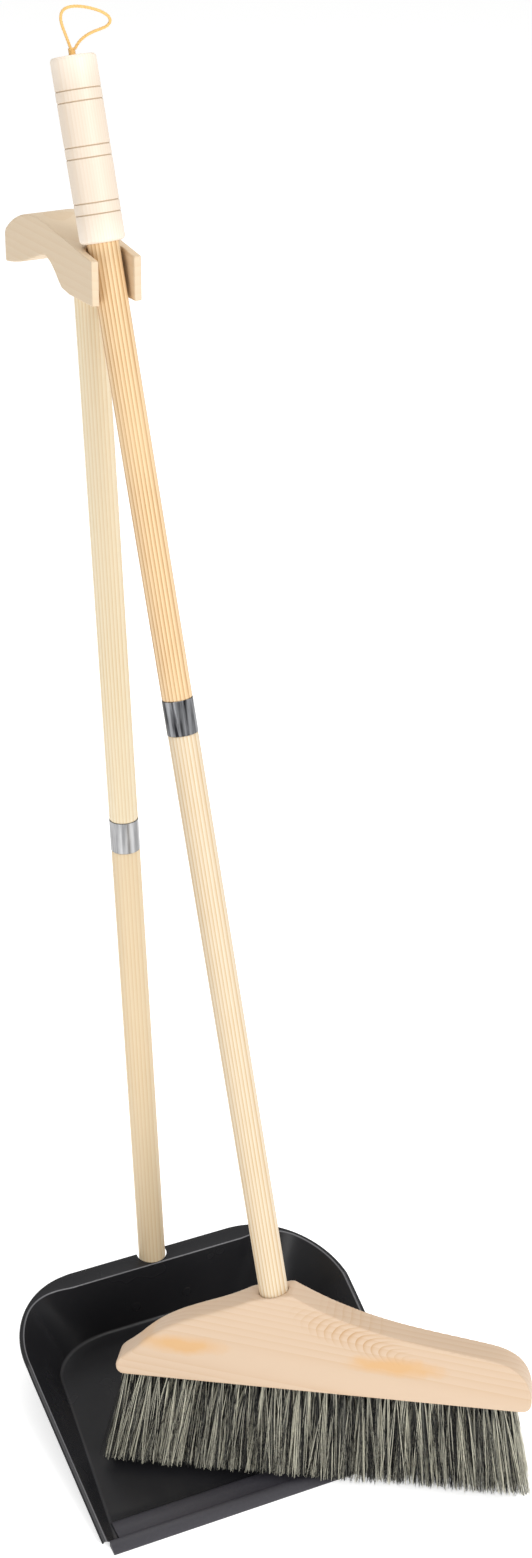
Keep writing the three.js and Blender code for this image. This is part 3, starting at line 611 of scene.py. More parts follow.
# ---------------------------------------------------------------------------------------
# Lip strip. Dark rubber section clipped over the front edge of the floor, with a ridge
# along its top and a face that slopes down to the ground.
# ---------------------------------------------------------------------------------------
STRIP_HALF = 141 * MM
STRIP_NOSE = 11.5 * MM
STRIP_RIDGE = 5.6 * MM
STRIP_TOP = 4.8 * MM
STRIP_BACK = 19 * MM
STRIP_TOP_START = 2 * MM
STRIP_TOP_END = STRIP_BACK - 3 * MM
STRIP_SAG_AT = STRIP_BACK - 9 * MM
STRIP_SAG = 0.5 * MM
STRIP_LIP_HALF = 132.3 * MM
STRIP_EDGE = 0.5 * MM
STRIP_FACE_FOOT = 1.6 * MM  # height of the blunt front edge
RUBBER_DARK = (0.020, 0.019, 0.025, 1)
RUBBER_LIGHT = (0.036, 0.034, 0.043, 1)


def extruded(name, outline, half_width):
    """Body with that outline in Y and Z, running along X."""
    count = len(outline)
    vertices = [(x, y, z) for x in (-half_width, half_width) for y, z in outline]
    faces = [(k, (k + 1) % count, count + (k + 1) % count, count + k) for k in range(count)]
    faces += [tuple(reversed(range(count))), tuple(range(count, 2 * count))]
    piece = new_piece(name, vertices, faces)
    join_close(piece, 1e-7)
    return piece


def round_edges(piece, width, segments=3, angle=30):
    """Rounds every edge sharper than the angle."""
    step = piece.modifiers.new("round", "BEVEL")
    step.width = width
    step.segments = segments
    step.limit_method = "ANGLE"
    step.angle_limit = math.radians(angle)
    settle(piece, 50)


GAP = 0.3 * MM
slot_low = JOGGLE_RISE - GAP
slot_high = JOGGLE_RISE + SHEET + GAP
strip_nose = extruded("lip_strip_nose", [(y + PAN_FRONT_Y, z) for y, z in (
    (-STRIP_NOSE, 0), (-GAP, 0), (-GAP, STRIP_RIDGE), (-STRIP_NOSE * 0.35, STRIP_RIDGE),
    (-STRIP_NOSE * 0.55, STRIP_RIDGE * 0.8), (-STRIP_NOSE, STRIP_FACE_FOOT))], STRIP_HALF)
strip_lips = extruded("lip_strip_lips", [(y + PAN_FRONT_Y, z) for y, z in (
    (-STRIP_NOSE * 0.3, 0), (STRIP_BACK, 0), (STRIP_BACK, slot_low), (-GAP, slot_low),
    (-GAP, slot_high), (STRIP_BACK, slot_high), (STRIP_BACK, slot_high + STRIP_EDGE),
    (STRIP_TOP_END, STRIP_TOP), (STRIP_SAG_AT, STRIP_TOP - STRIP_SAG),
    (STRIP_TOP_START, STRIP_TOP), (-STRIP_NOSE * 0.3, STRIP_RIDGE * 0.98))], STRIP_LIP_HALF)
cut(strip_nose, strip_lips, keep="UNION")
strip_nose.name = "lip_strip_rubber"
round_edges(strip_nose, STRIP_EDGE)

lip_rubber, tree, shader = material("lip_rubber")
skin = use(tree, unevenness, {"Vector": own_points(tree)}, Size=500.0, Fine=5.0)
tree.links.new(blend_colours(tree, skin.outputs["Mask"], RUBBER_DARK, RUBBER_LIGHT),
               shader.inputs["Base Color"])
roughen(tree, shader, skin.outputs["Height"], low=0.42, high=0.62)
raise_normal(tree, shader, skin.outputs["Height"], strength=0.35, distance=0.3 * MM)
strip_nose.data.materials.append(lip_rubber)
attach(strip_nose, "dustpan")
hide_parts("lip_strip")

# ---------------------------------------------------------------------------------------
# Handle socket. A steel cup and plate behind the back wall, riveted to the pan and coated
# with it. Bright zinc-plated screws hold the poles.
# ---------------------------------------------------------------------------------------
ZINC_LIGHT = (0.72, 0.72, 0.71, 1)
ZINC_DARK = (0.50, 0.50, 0.49, 1)


def paint_node(node, paint):
    """Gives a piece that is kept as it was drawn its finish."""
    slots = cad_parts[node].data.materials
    slots.clear()
    slots.append(paint)


for node in ("handle_socket", "rivet_left", "rivet_right"):
    paint_node(node, powder_coat)

zinc_plate, tree, shader = material("zinc_plate")
spangle = use(tree, unevenness, {"Vector": own_points(tree)}, Size=300.0, Fine=6.0)
tree.links.new(blend_colours(tree, spangle.outputs["Mask"], ZINC_DARK, ZINC_LIGHT),
               shader.inputs["Base Color"])
roughen(tree, shader, spangle.outputs["Height"], low=0.25, high=0.45)
shader.inputs["Metallic"].default_value = 1.0
raise_normal(tree, shader, spangle.outputs["Height"], strength=0.15, distance=0.2 * MM)
for node in ("pole_screw", "hook_screw", "head_screw", "pan_joint_stud", "pan_joint_insert",
             "broom_joint_stud", "broom_joint_insert"):
    paint_node(node, zinc_plate)

# ---------------------------------------------------------------------------------------
# Poles. Each is two lengths of turned pine, sanded and left with a thin clear finish. The
# growth rings run along the wood, so they show as long streaks.
# ---------------------------------------------------------------------------------------
POLE_RADIUS = 12 * MM
TENON_RADIUS = 11.3 * MM
POLE_EDGE = 0.7 * MM
FERRULE_HALF = 14 * MM
PAN_LEAN = math.radians(6.32)
PINE_PALE = (0.90, 0.73, 0.47, 1)
PINE_LATE = (0.74, 0.46, 0.20, 1)

# figure of sawn pine: growth rings round a heart that lies off to one side, and long fibres
pine_figure, given, result = effect(
    "pine_figure",
    [("Vector", "NodeSocketVector", None), ("Rings", "NodeSocketFloat", 110.0),
     ("Waver", "NodeSocketFloat", 1.2), ("Early", "NodeSocketColor", PINE_PALE),
     ("Late", "NodeSocketColor", PINE_LATE)],
    [("Color", "NodeSocketColor"), ("Height", "NodeSocketFloat"), ("Ring", "NodeSocketFloat")])
stretched = put(pine_figure, "ShaderNodeMapping", {"Vector": given.outputs["Vector"]},
                Scale=(1, 1, 0.035))
ring_wave = put(pine_figure, "ShaderNodeTexWave",
                {"Vector": stretched.outputs["Vector"], "Scale": given.outputs["Rings"],
                 "Distortion": given.outputs["Waver"]},
                wave_type="RINGS", rings_direction="Z", wave_profile="SAW", Detail=3.0)
ring_wave.inputs["Detail Scale"].default_value = 0.6
late_band = put(pine_figure, "ShaderNodeMath", {0: ring_wave.outputs["Fac"]}, operation="POWER")
late_band.inputs[1].default_value = 1.9
fibre = put(pine_figure, "ShaderNodeTexNoise", {"Vector": stretched.outputs["Vector"]},
            Scale=1600.0, Detail=3.0)
drift = put(pine_figure, "ShaderNodeTexNoise", {"Vector": given.outputs["Vector"]},
            Scale=9.0, Detail=2.0)
fibre_share = put(pine_figure, "ShaderNodeMath", {0: fibre.outputs["Fac"]}, operation="MULTIPLY")
fibre_share.inputs[1].default_value = 0.35
drift_share = spread(pine_figure, drift.outputs["Fac"], low=0.3, high=1.3)
drifted = put(pine_figure, "ShaderNodeMath", {0: late_band.outputs[0], 1: drift_share},
              operation="MULTIPLY")
ring_share = put(pine_figure, "ShaderNodeMath",
                 {0: drifted.outputs[0], 1: fibre_share.outputs[0]}, operation="ADD")
ring_share.use_clamp = True
figure_colour = blend_colours(pine_figure, ring_share.outputs[0],
                              given.outputs["Early"], given.outputs["Late"])
pine_figure.links.new(figure_colour, result.inputs["Color"])
pine_figure.links.new(fibre.outputs["Fac"], result.inputs["Height"])
pine_figure.links.new(late_band.outputs[0], result.inputs["Ring"])


def wood(name, early, late, rings=110.0, waver=1.2, heart=(0.05, 0.02, 0), along="Z",
         rough=(0.42, 0.6), tilt=0.0):
    """Wood with its fibres along the piece's own Z or Y. The heart is the rings' centre."""
    made, tree, shader = material(name)
    turns = {"Z": (0, tilt, 0), "Y": (math.pi / 2 + tilt, 0, 0)}
    facing = put(tree, "ShaderNodeMapping", {"Vector": own_points(tree)}, Rotation=turns[along])
    moved = put(tree, "ShaderNodeMapping", {"Vector": facing.outputs["Vector"]}, Location=heart)
    figure = use(tree, pine_figure, {"Vector": moved.outputs["Vector"]}, Rings=rings, Waver=waver,
                 Early=early, Late=late)
    tree.links.new(figure.outputs["Color"], shader.inputs["Base Color"])
    roughen(tree, shader, figure.outputs["Height"], *rough)
    shader.inputs["Specular IOR Level"].default_value = 0.35
    raise_normal(tree, shader, figure.outputs["Height"], strength=0.12, distance=0.2 * MM)
    return made


pan_lean = Matrix.Rotation(-PAN_LEAN, 4, "X")
# the ferrule's middle stands this far up the dustpan's pole
PAN_FERRULE_MIDDLE = 483 * MM
BROOM_FERRULE_MIDDLE = -363 * MM
pan_place = Matrix.Translation(
    middle_of("pan_ferrule") - pan_lean @ Vector((0, 0, PAN_FERRULE_MIDDLE))) @ pan_lean


def pole_length(name, low, high, tenon_at, place, paint, node, body):
    """One length of pole: a round-edged rod, turned down at the end inside the ferrule."""
    shoulder = FERRULE_HALF + GAP
    if tenon_at == "top":
        profile = [(0, low), (POLE_RADIUS - POLE_EDGE, low), (POLE_RADIUS, low + POLE_EDGE),
                   (POLE_RADIUS, high - shoulder - POLE_EDGE),
                   (POLE_RADIUS - POLE_EDGE / 2, high - shoulder), (TENON_RADIUS, high - shoulder),
                   (TENON_RADIUS, high - GAP / 2), (0, high - GAP / 2)]
    else:
        profile = [(0, low + GAP / 2), (TENON_RADIUS, low + GAP / 2),
                   (TENON_RADIUS, low + shoulder), (POLE_RADIUS - POLE_EDGE / 2, low + shoulder),
                   (POLE_RADIUS, low + shoulder + POLE_EDGE),
                   (POLE_RADIUS, high - POLE_EDGE), (POLE_RADIUS - POLE_EDGE, high), (0, high)]
    piece = turned(name, profile, place)
    piece.data.materials.append(paint)
    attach(piece, body)
    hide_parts(node)


POLE_FOOT = 6 * MM          # clear of the ground, inside the socket
POLE_IN_HOOK = 24 * MM
HOOK_BLOCK_DROP = 41 * MM
hook_low, hook_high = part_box("hook_handle")
pan_pole_top = (hook_high.z - HOOK_BLOCK_DROP + POLE_IN_HOOK) / math.cos(PAN_LEAN)
PAN_POLE_HEART = (0.11, -0.046, 0)
pole_length("pan_pole_lower_wood", POLE_FOOT, PAN_FERRULE_MIDDLE, "top", pan_place,
            wood("pine_pan_lower", early=(0.79, 0.655, 0.455, 1), late=(0.71, 0.52, 0.30, 1),
                 rings=100.0, heart=PAN_POLE_HEART),
            "pan_pole_lower", "dustpan")
pole_length("pan_pole_upper_wood", PAN_FERRULE_MIDDLE, pan_pole_top, "foot", pan_place,
            wood("pine_pan_upper", early=(0.815, 0.725, 0.55, 1), late=(0.69, 0.52, 0.29, 1),
                 rings=115.0, heart=PAN_POLE_HEART),
            "pan_pole_upper", "dustpan")

POLE_IN_GRIP = 60 * MM
HEAD_DROP = 902.5 * MM
POLE_FOOT_ABOVE_HEAD_POINT = 6 * MM
BROOM_POLE_HEART = (0.12, 0.018, 0)
pole_length("broom_pole_lower_wood", -HEAD_DROP + POLE_FOOT_ABOVE_HEAD_POINT,
            BROOM_FERRULE_MIDDLE, "top", broom_place,
            wood("pine_broom_lower", early=(0.775, 0.69, 0.54, 1), late=(0.58, 0.38, 0.18, 1),
                 rings=110.0, heart=BROOM_POLE_HEART),
            "broom_pole_lower", "broom")
pole_length("broom_pole_upper_wood", BROOM_FERRULE_MIDDLE, POLE_IN_GRIP, "foot", broom_place,
            wood("pine_broom_upper", early=(0.86, 0.66, 0.40, 1), late=(0.44, 0.22, 0.075, 1),
                 rings=105.0, heart=BROOM_POLE_HEART),
            "broom_pole_upper", "broom")

# ---------------------------------------------------------------------------------------
# Ferrules. Short drawn steel sleeves over the joints of the poles: blued dark on the broom,
# bright on the dustpan, both with the streaks of the drawing die.
# ---------------------------------------------------------------------------------------
FERRULE_OUTER = 12.3 * MM
FERRULE_INNER = 11.6 * MM
FERRULE_EDGE = 0.25 * MM


def drawn_steel(name, dark, light, rough):
    """Steel with long streaks from dark to light, and a roughness that varies with them."""
    made, tree, shader = material(name)
    long_way = put(tree, "ShaderNodeMapping", {"Vector": own_points(tree)}, Scale=(1, 1, 0.08))
    streaks = use(tree, unevenness, {"Vector": long_way.outputs["Vector"]}, Size=260.0, Fine=5.0)
    streak = spread(tree, streaks.outputs["Mask"], low=-1.5, high=2.5)
    tree.links.new(blend_colours(tree, streak, dark, light), shader.inputs["Base Color"])
    roughen(tree, shader, streaks.outputs["Height"], *rough)
    shader.inputs["Metallic"].default_value = 1.0
    raise_normal(tree, shader, streaks.outputs["Height"], strength=0.2, distance=0.2 * MM)
    return made


for name, middle, place, paint, node, body, slot in (
    ("pan_ferrule_sleeve", PAN_FERRULE_MIDDLE, pan_place,
     drawn_steel("bright_steel", dark=(0.25, 0.25, 0.255, 1), light=(0.48, 0.48, 0.485, 1),
                 rough=(0.22, 0.4)),
     "pan_ferrule", "dustpan", "bright_steel"),
    ("broom_ferrule_sleeve", BROOM_FERRULE_MIDDLE, broom_place,
     drawn_steel("dark_steel", dark=(0.012, 0.012, 0.014, 1), light=(0.34, 0.345, 0.36, 1),
                 rough=(0.22, 0.42)),
     "broom_ferrule", "broom", "dark_steel"),
):
    foot, top = middle - FERRULE_HALF, middle + FERRULE_HALF
    sleeve = turned(name, [
        (FERRULE_INNER, foot), (FERRULE_OUTER - FERRULE_EDGE, foot),
        (FERRULE_OUTER, foot + FERRULE_EDGE), (FERRULE_OUTER, top - FERRULE_EDGE),
        (FERRULE_OUTER - FERRULE_EDGE, top), (FERRULE_INNER, top), (FERRULE_INNER, foot)], place)
    join_close(sleeve, 1e-7)
    smooth_shade(sleeve)
    sleeve.data.materials.append(paint)
    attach(sleeve, body)
    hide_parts(node)

# ---------------------------------------------------------------------------------------
# Hook handle. Sawn from one board and hand rounded: two ears that hold the hanging broom,
# a block bored for the pole, and an arched arm to carry the set by.
# ---------------------------------------------------------------------------------------
EAR_REACH = 64
ARM_REACH = 157
HOOK_HALF = 19.5
TAIL_TAPER = 34             # length over which the arm rounds off to its end, seen from above
FORK_HALF = 13.8 * MM
FORK_ROOT = -39.8 * MM      # centre of the slot's round end, ahead of the pole's axis
CARVE_VOXEL = 0.75 * MM
HOOK_SANDING = 9            # passes of the sander over the whole handle
TAIL_STEPS = 32
BELOW_HOOK, ABOVE_HOOK = -90 * MM, 20 * MM      # heights that clear the handle
AHEAD_OF_HOOK = -90 * MM
HOOK_BORE_DEPTH = 60 * MM
PLUG_BORE_RADIUS = 4.6 * MM
PLUG_BORE_FROM, PLUG_BORE_TO = 4 * MM, 40 * MM  # above the pole's top
hook_place = Matrix.Translation((0, hook_low.y + EAR_REACH * MM, hook_high.z))


def bezier(p0, p1, p2, p3, steps):
    """Points after p0 on the curve, p3 included."""
    line = []
    for k in range(1, steps + 1):
        t = k / steps
        s = 1 - t
        line.append(tuple(s ** 3 * a + 3 * s * s * t * b + 3 * s * t * t * c + t ** 3 * d
                          for a, b, c, d in zip(p0, p1, p2, p3)))
    return line


side_view = [(-EAR_REACH, -34), (-12, -41), (2, -41)]
side_view += bezier((2, -41), (12, -39), (18, -27.5), (38, -26.5), 12)
side_view += bezier((38, -26.5), (50, -26), (80, -48), (ARM_REACH - 18, -61), 20)
side_view += bezier((ARM_REACH - 18, -61), (ARM_REACH - 10, -65), (ARM_REACH - 1, -67),
                    (ARM_REACH, -61), 10)
side_view += bezier((ARM_REACH, -61), (ARM_REACH - 7, -42), (105, 2), (30, 0), 28)
side_view += [(-EAR_REACH, 0)]
hook = extruded("hook_handle_wood", [(y * MM, z * MM) for y, z in side_view], HOOK_HALF * MM)

plan = [(-HOOK_HALF - 1, -EAR_REACH - 1), (HOOK_HALF + 1, -EAR_REACH - 1)]
for k in range(TAIL_STEPS + 1):
    angle = k * math.pi / TAIL_STEPS
    plan.append(((HOOK_HALF + 1) * math.cos(angle),
                 ARM_REACH - TAIL_TAPER + TAIL_TAPER * math.sin(angle)))
count = len(plan)
rounding = new_piece(
    "hook_plan", [(x * MM, y * MM, z) for z in (BELOW_HOOK, ABOVE_HOOK) for x, y in plan],
    [tuple(reversed(range(count))), tuple(range(count, 2 * count))]
    + [(k, (k + 1) % count, count + (k + 1) % count, count + k) for k in range(count)])
cut(hook, rounding, keep="INTERSECT")
in_hook = hook_place.inverted() @ pan_place
cut(hook,
    cylinder("fork_round", FORK_HALF, BELOW_HOOK, ABOVE_HOOK,
             Matrix.Translation((0, FORK_ROOT, 0))),
    block("fork_slot", (-FORK_HALF, AHEAD_OF_HOOK, BELOW_HOOK),
          (FORK_HALF, FORK_ROOT, ABOVE_HOOK)),
    cylinder("pole_bore", POLE_RADIUS + GAP, pan_pole_top - HOOK_BORE_DEPTH,
             pan_pole_top + GAP, in_hook),
    cylinder("plug_bore", PLUG_BORE_RADIUS, pan_pole_top + PLUG_BORE_FROM,
             pan_pole_top + PLUG_BORE_TO, in_hook))
carve = hook.modifiers.new("carve", "REMESH")
carve.mode = "VOXEL"
carve.voxel_size = CARVE_VOXEL
settle(hook)


def sanded(piece, passes, group=""):
    """Softens every edge, the more passes the rounder."""
    step = piece.modifiers.new("sand", "SMOOTH")
    step.factor = 0.5
    step.iterations = passes
    step.vertex_group = group
    settle(piece, 80)


sanded(hook, HOOK_SANDING)
hook.matrix_world = hook_place
hook_wood = wood("hook_wood", early=(0.685, 0.55, 0.39, 1), late=(0.655, 0.505, 0.34, 1),
                 rings=45.0, waver=3.0, heart=(0.0, 0.06, 0), along="Y", rough=(0.45, 0.65),
                 tilt=0.12)
hook.data.materials.append(hook_wood)
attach(hook, "dustpan")
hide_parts("hook_handle")

# a wooden plug closes the bore over the screw
PLUG_RADIUS = 4.5 * MM
PLUG_EDGE = 0.5 * MM
PLUG_CROWN = 0.1 * MM
PLUG_OVER_POLE = 9.6 * MM
PLUG_SUNK = 1.2 * MM
plug_foot = pan_pole_top + PLUG_OVER_POLE
plug_top = (hook_high.z - PLUG_SUNK) / math.cos(PAN_LEAN)
plug = turned("hook_plug_wood", [
    (0, plug_foot), (PLUG_RADIUS, plug_foot), (PLUG_RADIUS, plug_top - PLUG_EDGE),
    (PLUG_RADIUS - PLUG_EDGE - PLUG_CROWN, plug_top), (0, plug_top + PLUG_CROWN)],
    pan_place, sides=48)
plug.data.materials.append(wood("plug_wood", early=(0.78, 0.60, 0.40, 1),
                                late=(0.60, 0.38, 0.20, 1), rings=400.0))
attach(plug, "dustpan")
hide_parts("hook_plug")

# ---------------------------------------------------------------------------------------
# Broom grip. A thicker turned length of pale wood on top of the pole, pinned to it, with
# three pairs of fine grooves burned in on the lathe.
# ---------------------------------------------------------------------------------------
GRIP_RADIUS = 17 * MM
GRIP_ROUND = 3 * MM
GROOVE_SHARES = (0.157, 0.219, 0.459, 0.521, 0.759, 0.821)
GROOVE_HALF = 0.7 * MM
GROOVE_DEPTH = 0.55 * MM
GRIP_CREAM = (0.86, 0.765, 0.66, 1)
GRIP_LATE = (0.80, 0.68, 0.55, 1)
BURNED = (0.42, 0.29, 0.17, 1)

ROUND_STEPS = 6
GROOVE_SECTION = (-1, -0.6, -0.3, 0, 0.3, 0.6, 1)   # shares of the groove's half width
BURN_SPREAD = 1.3           # how far the scorching reaches past the groove

grip_profile = [(0, 0)]
for k in range(ROUND_STEPS + 1):
    angle = k * math.pi / 2 / ROUND_STEPS
    grip_profile.append((GRIP_RADIUS - GRIP_ROUND * (1 - math.sin(angle)),
                         GRIP_ROUND * (1 - math.cos(angle))))
for share in GROOVE_SHARES:
    z = share * GRIP_LENGTH
    for step in GROOVE_SECTION:
        deep = GROOVE_DEPTH * (1 - abs(step) ** 1.5)
        grip_profile.append((GRIP_RADIUS - deep, z + step * GROOVE_HALF))
for k in range(ROUND_STEPS + 1):
    angle = math.pi / 2 - k * math.pi / 2 / ROUND_STEPS
    grip_profile.append((GRIP_RADIUS - GRIP_ROUND * (1 - math.sin(angle)),
                         GRIP_LENGTH - GRIP_ROUND * (1 - math.cos(angle))))
grip_profile.append((0, GRIP_LENGTH))
grip = turned("broom_grip_wood", grip_profile, broom_place, sides=96)
cut(grip, cylinder("grip_bore", POLE_RADIUS + GAP, -10 * MM, POLE_IN_GRIP + GAP))
smooth_shade(grip, sharp_from=45)
burn = grip.data.attributes.new("burn", "FLOAT", "POINT")
for v in grip.data.vertices:
    near = min(abs(v.co.z - share * GRIP_LENGTH) for share in GROOVE_SHARES)
    burn.data[v.index].value = max(0.0, 1 - near / (GROOVE_HALF * BURN_SPREAD))

grip_wood = wood("grip_wood", GRIP_CREAM, GRIP_LATE, rings=150.0, heart=(0.06, 0.05, 0),
                 rough=(0.38, 0.55))
tree = grip_wood.node_tree
shader = tree.nodes["Principled BSDF"]
plain = shader.inputs["Base Color"].links[0].from_socket
scorch = put(tree, "ShaderNodeAttribute", attribute_name="burn")
tree.links.new(blend_colours(tree, scorch.outputs["Fac"], plain, BURNED),
               shader.inputs["Base Color"])
grip.data.materials.append(grip_wood)
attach(grip, "broom")
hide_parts("broom_grip")
paint_node("grip_pin", hook_wood)

# ---------------------------------------------------------------------------------------
# Broom head. A pale pine block sawn to a gull-wing outline and bored for the pole. Its left
# flank is rounded over broadly, its other edges only broken.
# ---------------------------------------------------------------------------------------
HEAD_LEAN = math.radians(10.55)
HEAD_HALF_THICK = 14.4 * MM
SHORT_END, LONG_END = -137.5, 210
HEAD_BOTTOM, HEAD_PEAK = -41.6, 46
HEAD_CORNER = 9
HEAD_VOXEL = 1.1 * MM
HEAD_SANDING, FLANK_SANDING = 8, 60     # passes of the sander, over all and over the flank
FLANK_FROM, FLANK_EASE = -22, 25        # where the flank's rounding starts, and its run-in
FOOT_EASE = 12                          # the rounding fades out this far above the foot
HEAD_BORE_LENGTH = 150 * MM
head_place = (broom_place @ Matrix.Translation((0, 0, -HEAD_DROP))
              @ Matrix.Rotation(HEAD_LEAN, 4, "Y"))


def quadratic(p0, p1, p2, steps):
    c1 = tuple(a + (b - a) * 2 / 3 for a, b in zip(p0, p1))
    c2 = tuple(c + (b - c) * 2 / 3 for b, c in zip(p1, p2))
    return bezier(p0, c1, c2, p2, steps)


L, R, B, P, C = SHORT_END, LONG_END, HEAD_BOTTOM, HEAD_PEAK, HEAD_CORNER
front_view = [(L + C, B), (R - C, B)]
front_view += quadratic((R - C, B), (R + 1, B), (R + 1, B + C), 8)
front_view += bezier((R + 1, B + C), (R - 1, B + 32), (R - 14, P - 46), (R - 34, P - 42.5), 16)
front_view += bezier((R - 34, P - 42.5), (R - 86, P - 34), (70, P - 32), (8, P), 28)
front_view += [(-26, P - 8)]
front_view += bezier((-26, P - 8), (-62, P - 28), (-92, P - 30), (L + 18, P - 60), 20)
front_view += bezier((L + 18, P - 60), (L + 8, P - 70), (L + 2, B + 16), (L, B + C), 10)
front_view += quadratic((L, B + C), (L, B), (L + C, B), 8)[:-1]
count = len(front_view)
head = new_piece(
    "broom_head_wood",
    [(x * MM, y, z * MM) for y in (-HEAD_HALF_THICK, HEAD_HALF_THICK) for x, z in front_view],
    [tuple(range(count)), tuple(reversed(range(count, 2 * count)))]
    + [((k + 1) % count, k, count + k, count + (k + 1) % count) for k in range(count)])
join_close(head, 1e-7)
cut(head, cylinder("head_bore", POLE_RADIUS + GAP, -HEAD_DROP + POLE_FOOT_ABOVE_HEAD_POINT - GAP,
                        -HEAD_DROP + HEAD_BORE_LENGTH, head_place.inverted() @ broom_place))
shape_up = head.modifiers.new("shape", "REMESH")
shape_up.mode = "VOXEL"
shape_up.voxel_size = HEAD_VOXEL
settle(head)
sanded(head, HEAD_SANDING)
broad = head.vertex_groups.new(name="broad_rounding")
for v in head.data.vertices:
    x, z = v.co.x / MM, v.co.z / MM
    over_flank = min(max((FLANK_FROM - x) / FLANK_EASE, 0), 1)
    ease = over_flank * min(max((z - HEAD_BOTTOM - HEAD_CORNER) / FOOT_EASE, 0), 1)
    if ease > 0:
        broad.add([v.index], ease, "REPLACE")
sanded(head, FLANK_SANDING, "broad_rounding")
head.matrix_world = head_place

head_wood, tree, shader = material("head_wood")
HEAD_PALE = (0.64, 0.485, 0.35, 1)
HEAD_LATE = (0.60, 0.43, 0.29, 1)
HEAD_ORANGE = (0.65, 0.40, 0.195, 1)
HEAD_LINE = (0.52, 0.32, 0.17, 1)
GRAIN_TILT = 0.11
laid = put(tree, "ShaderNodeMapping", {"Vector": own_points(tree)},
           Rotation=(0, math.pi / 2 - GRAIN_TILT, 0))
off_heart = put(tree, "ShaderNodeMapping", {"Vector": laid.outputs["Vector"]},
                Location=(0.02, 0.035, 0))
figure = use(tree, pine_figure, {"Vector": off_heart.outputs["Vector"]}, Rings=62.0, Waver=2.2,
             Early=HEAD_PALE, Late=HEAD_LATE)


def spot(tree, x, z, long, high, tilt=0.0, ragged=0.8):
    """Mask of an oval with a ragged edge in the head's face; sizes in metres."""
    there = put(tree, "ShaderNodeMapping", {"Vector": own_points(tree)}, vector_type="TEXTURE",
                Location=(x, 0, z), Rotation=(0, tilt, 0), Scale=(long, 0.125, high))
    waver = put(tree, "ShaderNodeTexNoise", {"Vector": own_points(tree)}, Scale=60.0, Detail=3.0)
    centred = put(tree, "ShaderNodeVectorMath", {0: waver.outputs["Color"]}, operation="SUBTRACT")
    centred.inputs[1].default_value = (0.5, 0.5, 0.5)
    shifted = put(tree, "ShaderNodeVectorMath", operation="MULTIPLY_ADD",
                  links={0: centred.outputs["Vector"], 2: there.outputs["Vector"]})
    shifted.inputs[1].default_value = (ragged, 0, ragged)
    ball = put(tree, "ShaderNodeTexGradient", {"Vector": shifted.outputs["Vector"]},
               gradient_type="SPHERICAL")
    return spread(tree, ball.outputs["Fac"], low=0, high=1.6)


# two resin-stained patches, and nested short rings where the saw left the heart beside the neck
face = figure.outputs["Color"]
for x, z, long, high in ((-0.083, -0.009, 0.046, 0.0105), (0.098, -0.010, 0.050, 0.0105)):
    face = blend_colours(tree, spot(tree, x, z, long, high), face, HEAD_ORANGE)
beside_neck = put(tree, "ShaderNodeMapping", {"Vector": own_points(tree)}, vector_type="TEXTURE",
                  Location=(0.135, 0, -0.012), Rotation=(0, 0.30, 0), Scale=(1, 1, 0.30))
nested = put(tree, "ShaderNodeTexWave", {"Vector": beside_neck.outputs["Vector"]},
             wave_type="RINGS", rings_direction="Y", wave_profile="SAW",
             Scale=46.0, Distortion=1.2, Detail=2.0)
thin_line = put(tree, "ShaderNodeMath", {0: nested.outputs["Fac"]}, operation="POWER")
thin_line.inputs[1].default_value = 3.0
below_slope = spot(tree, x=0.060, z=0.014, long=0.062, high=0.015, tilt=0.33, ragged=0.5)
line_mask = put(tree, "ShaderNodeMath", {0: thin_line.outputs[0], 1: below_slope},
                operation="MULTIPLY")
tree.links.new(blend_colours(tree, line_mask.outputs[0], face, HEAD_LINE),
               shader.inputs["Base Color"])
roughen(tree, shader, figure.outputs["Height"], low=0.42, high=0.6)
shader.inputs["Specular IOR Level"].default_value = 0.35
raise_normal(tree, shader, figure.outputs["Height"], strength=0.12, distance=0.2 * MM)
head.data.materials.append(head_wood)
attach(head, "broom")
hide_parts("broom_head")

# ---------------------------------------------------------------------------------------
# Bristles. Five rows of tufts of mixed horsehair, black, grey and fair, drilled into the
# head and fanned out towards the ends, with tips trimmed roughly level.
# ---------------------------------------------------------------------------------------
BRISTLE_ROWS = 5
ROW_SPACING = 4.9
TIP_SPACING = 7.9
TUFT_SPACING = 7.2
TUFT_RADIUS = 2.3
HAIRS_PER_TUFT = 90
HAIRS_PER_LOCK = 3
HAIR_RADIUS = 0.21
HAIR_STEPS = 4
FIRST_TUFT = SHORT_END + 8.5
LAST_TUFT = LONG_END - 15.5
FAN_LEFT, FAN_RIGHT = -13.0, 16.0
LENGTH_LEFT, LENGTH_RIGHT = 82.0, 76.0
FLOOR_CLEARANCE = 8.5 * MM
ROOT_DEPTH = 1.5            # the hairs start this far up inside the head
HAIR_BLACK = (0.008, 0.008, 0.008, 1)
HAIR_GREY = (0.13, 0.13, 0.115, 1)
HAIR_FAIR = (0.84, 0.81, 0.65, 1)
# how far things stray along and across the head, as standard deviations
TUFT_STRAY, LOCK_STRAY, TIP_STRAY = (1.8, 0.8), (5.2, 1.3), (0.5, 0.3)
ROOT_STRAY = 0.16
TUFT_LEAN = -1.5
BOW = (1.5, 0.8)
TRIM = 2.4                  # unevenness of the trimmed tips
OUTER_SHARE = 0.06          # tufts this near an end stray half as much
TAPER = 0.45                # share of its thickness that a hair loses towards its tip
# share of the locks up to each tone, darkest first
BLACK_SHARE, GREY_SHARE = 0.45, 0.62
BLACK_TONE, GREY_TONE, FAIR_TONE = 0.08, 0.42, 0.85
chance = random.Random(7)

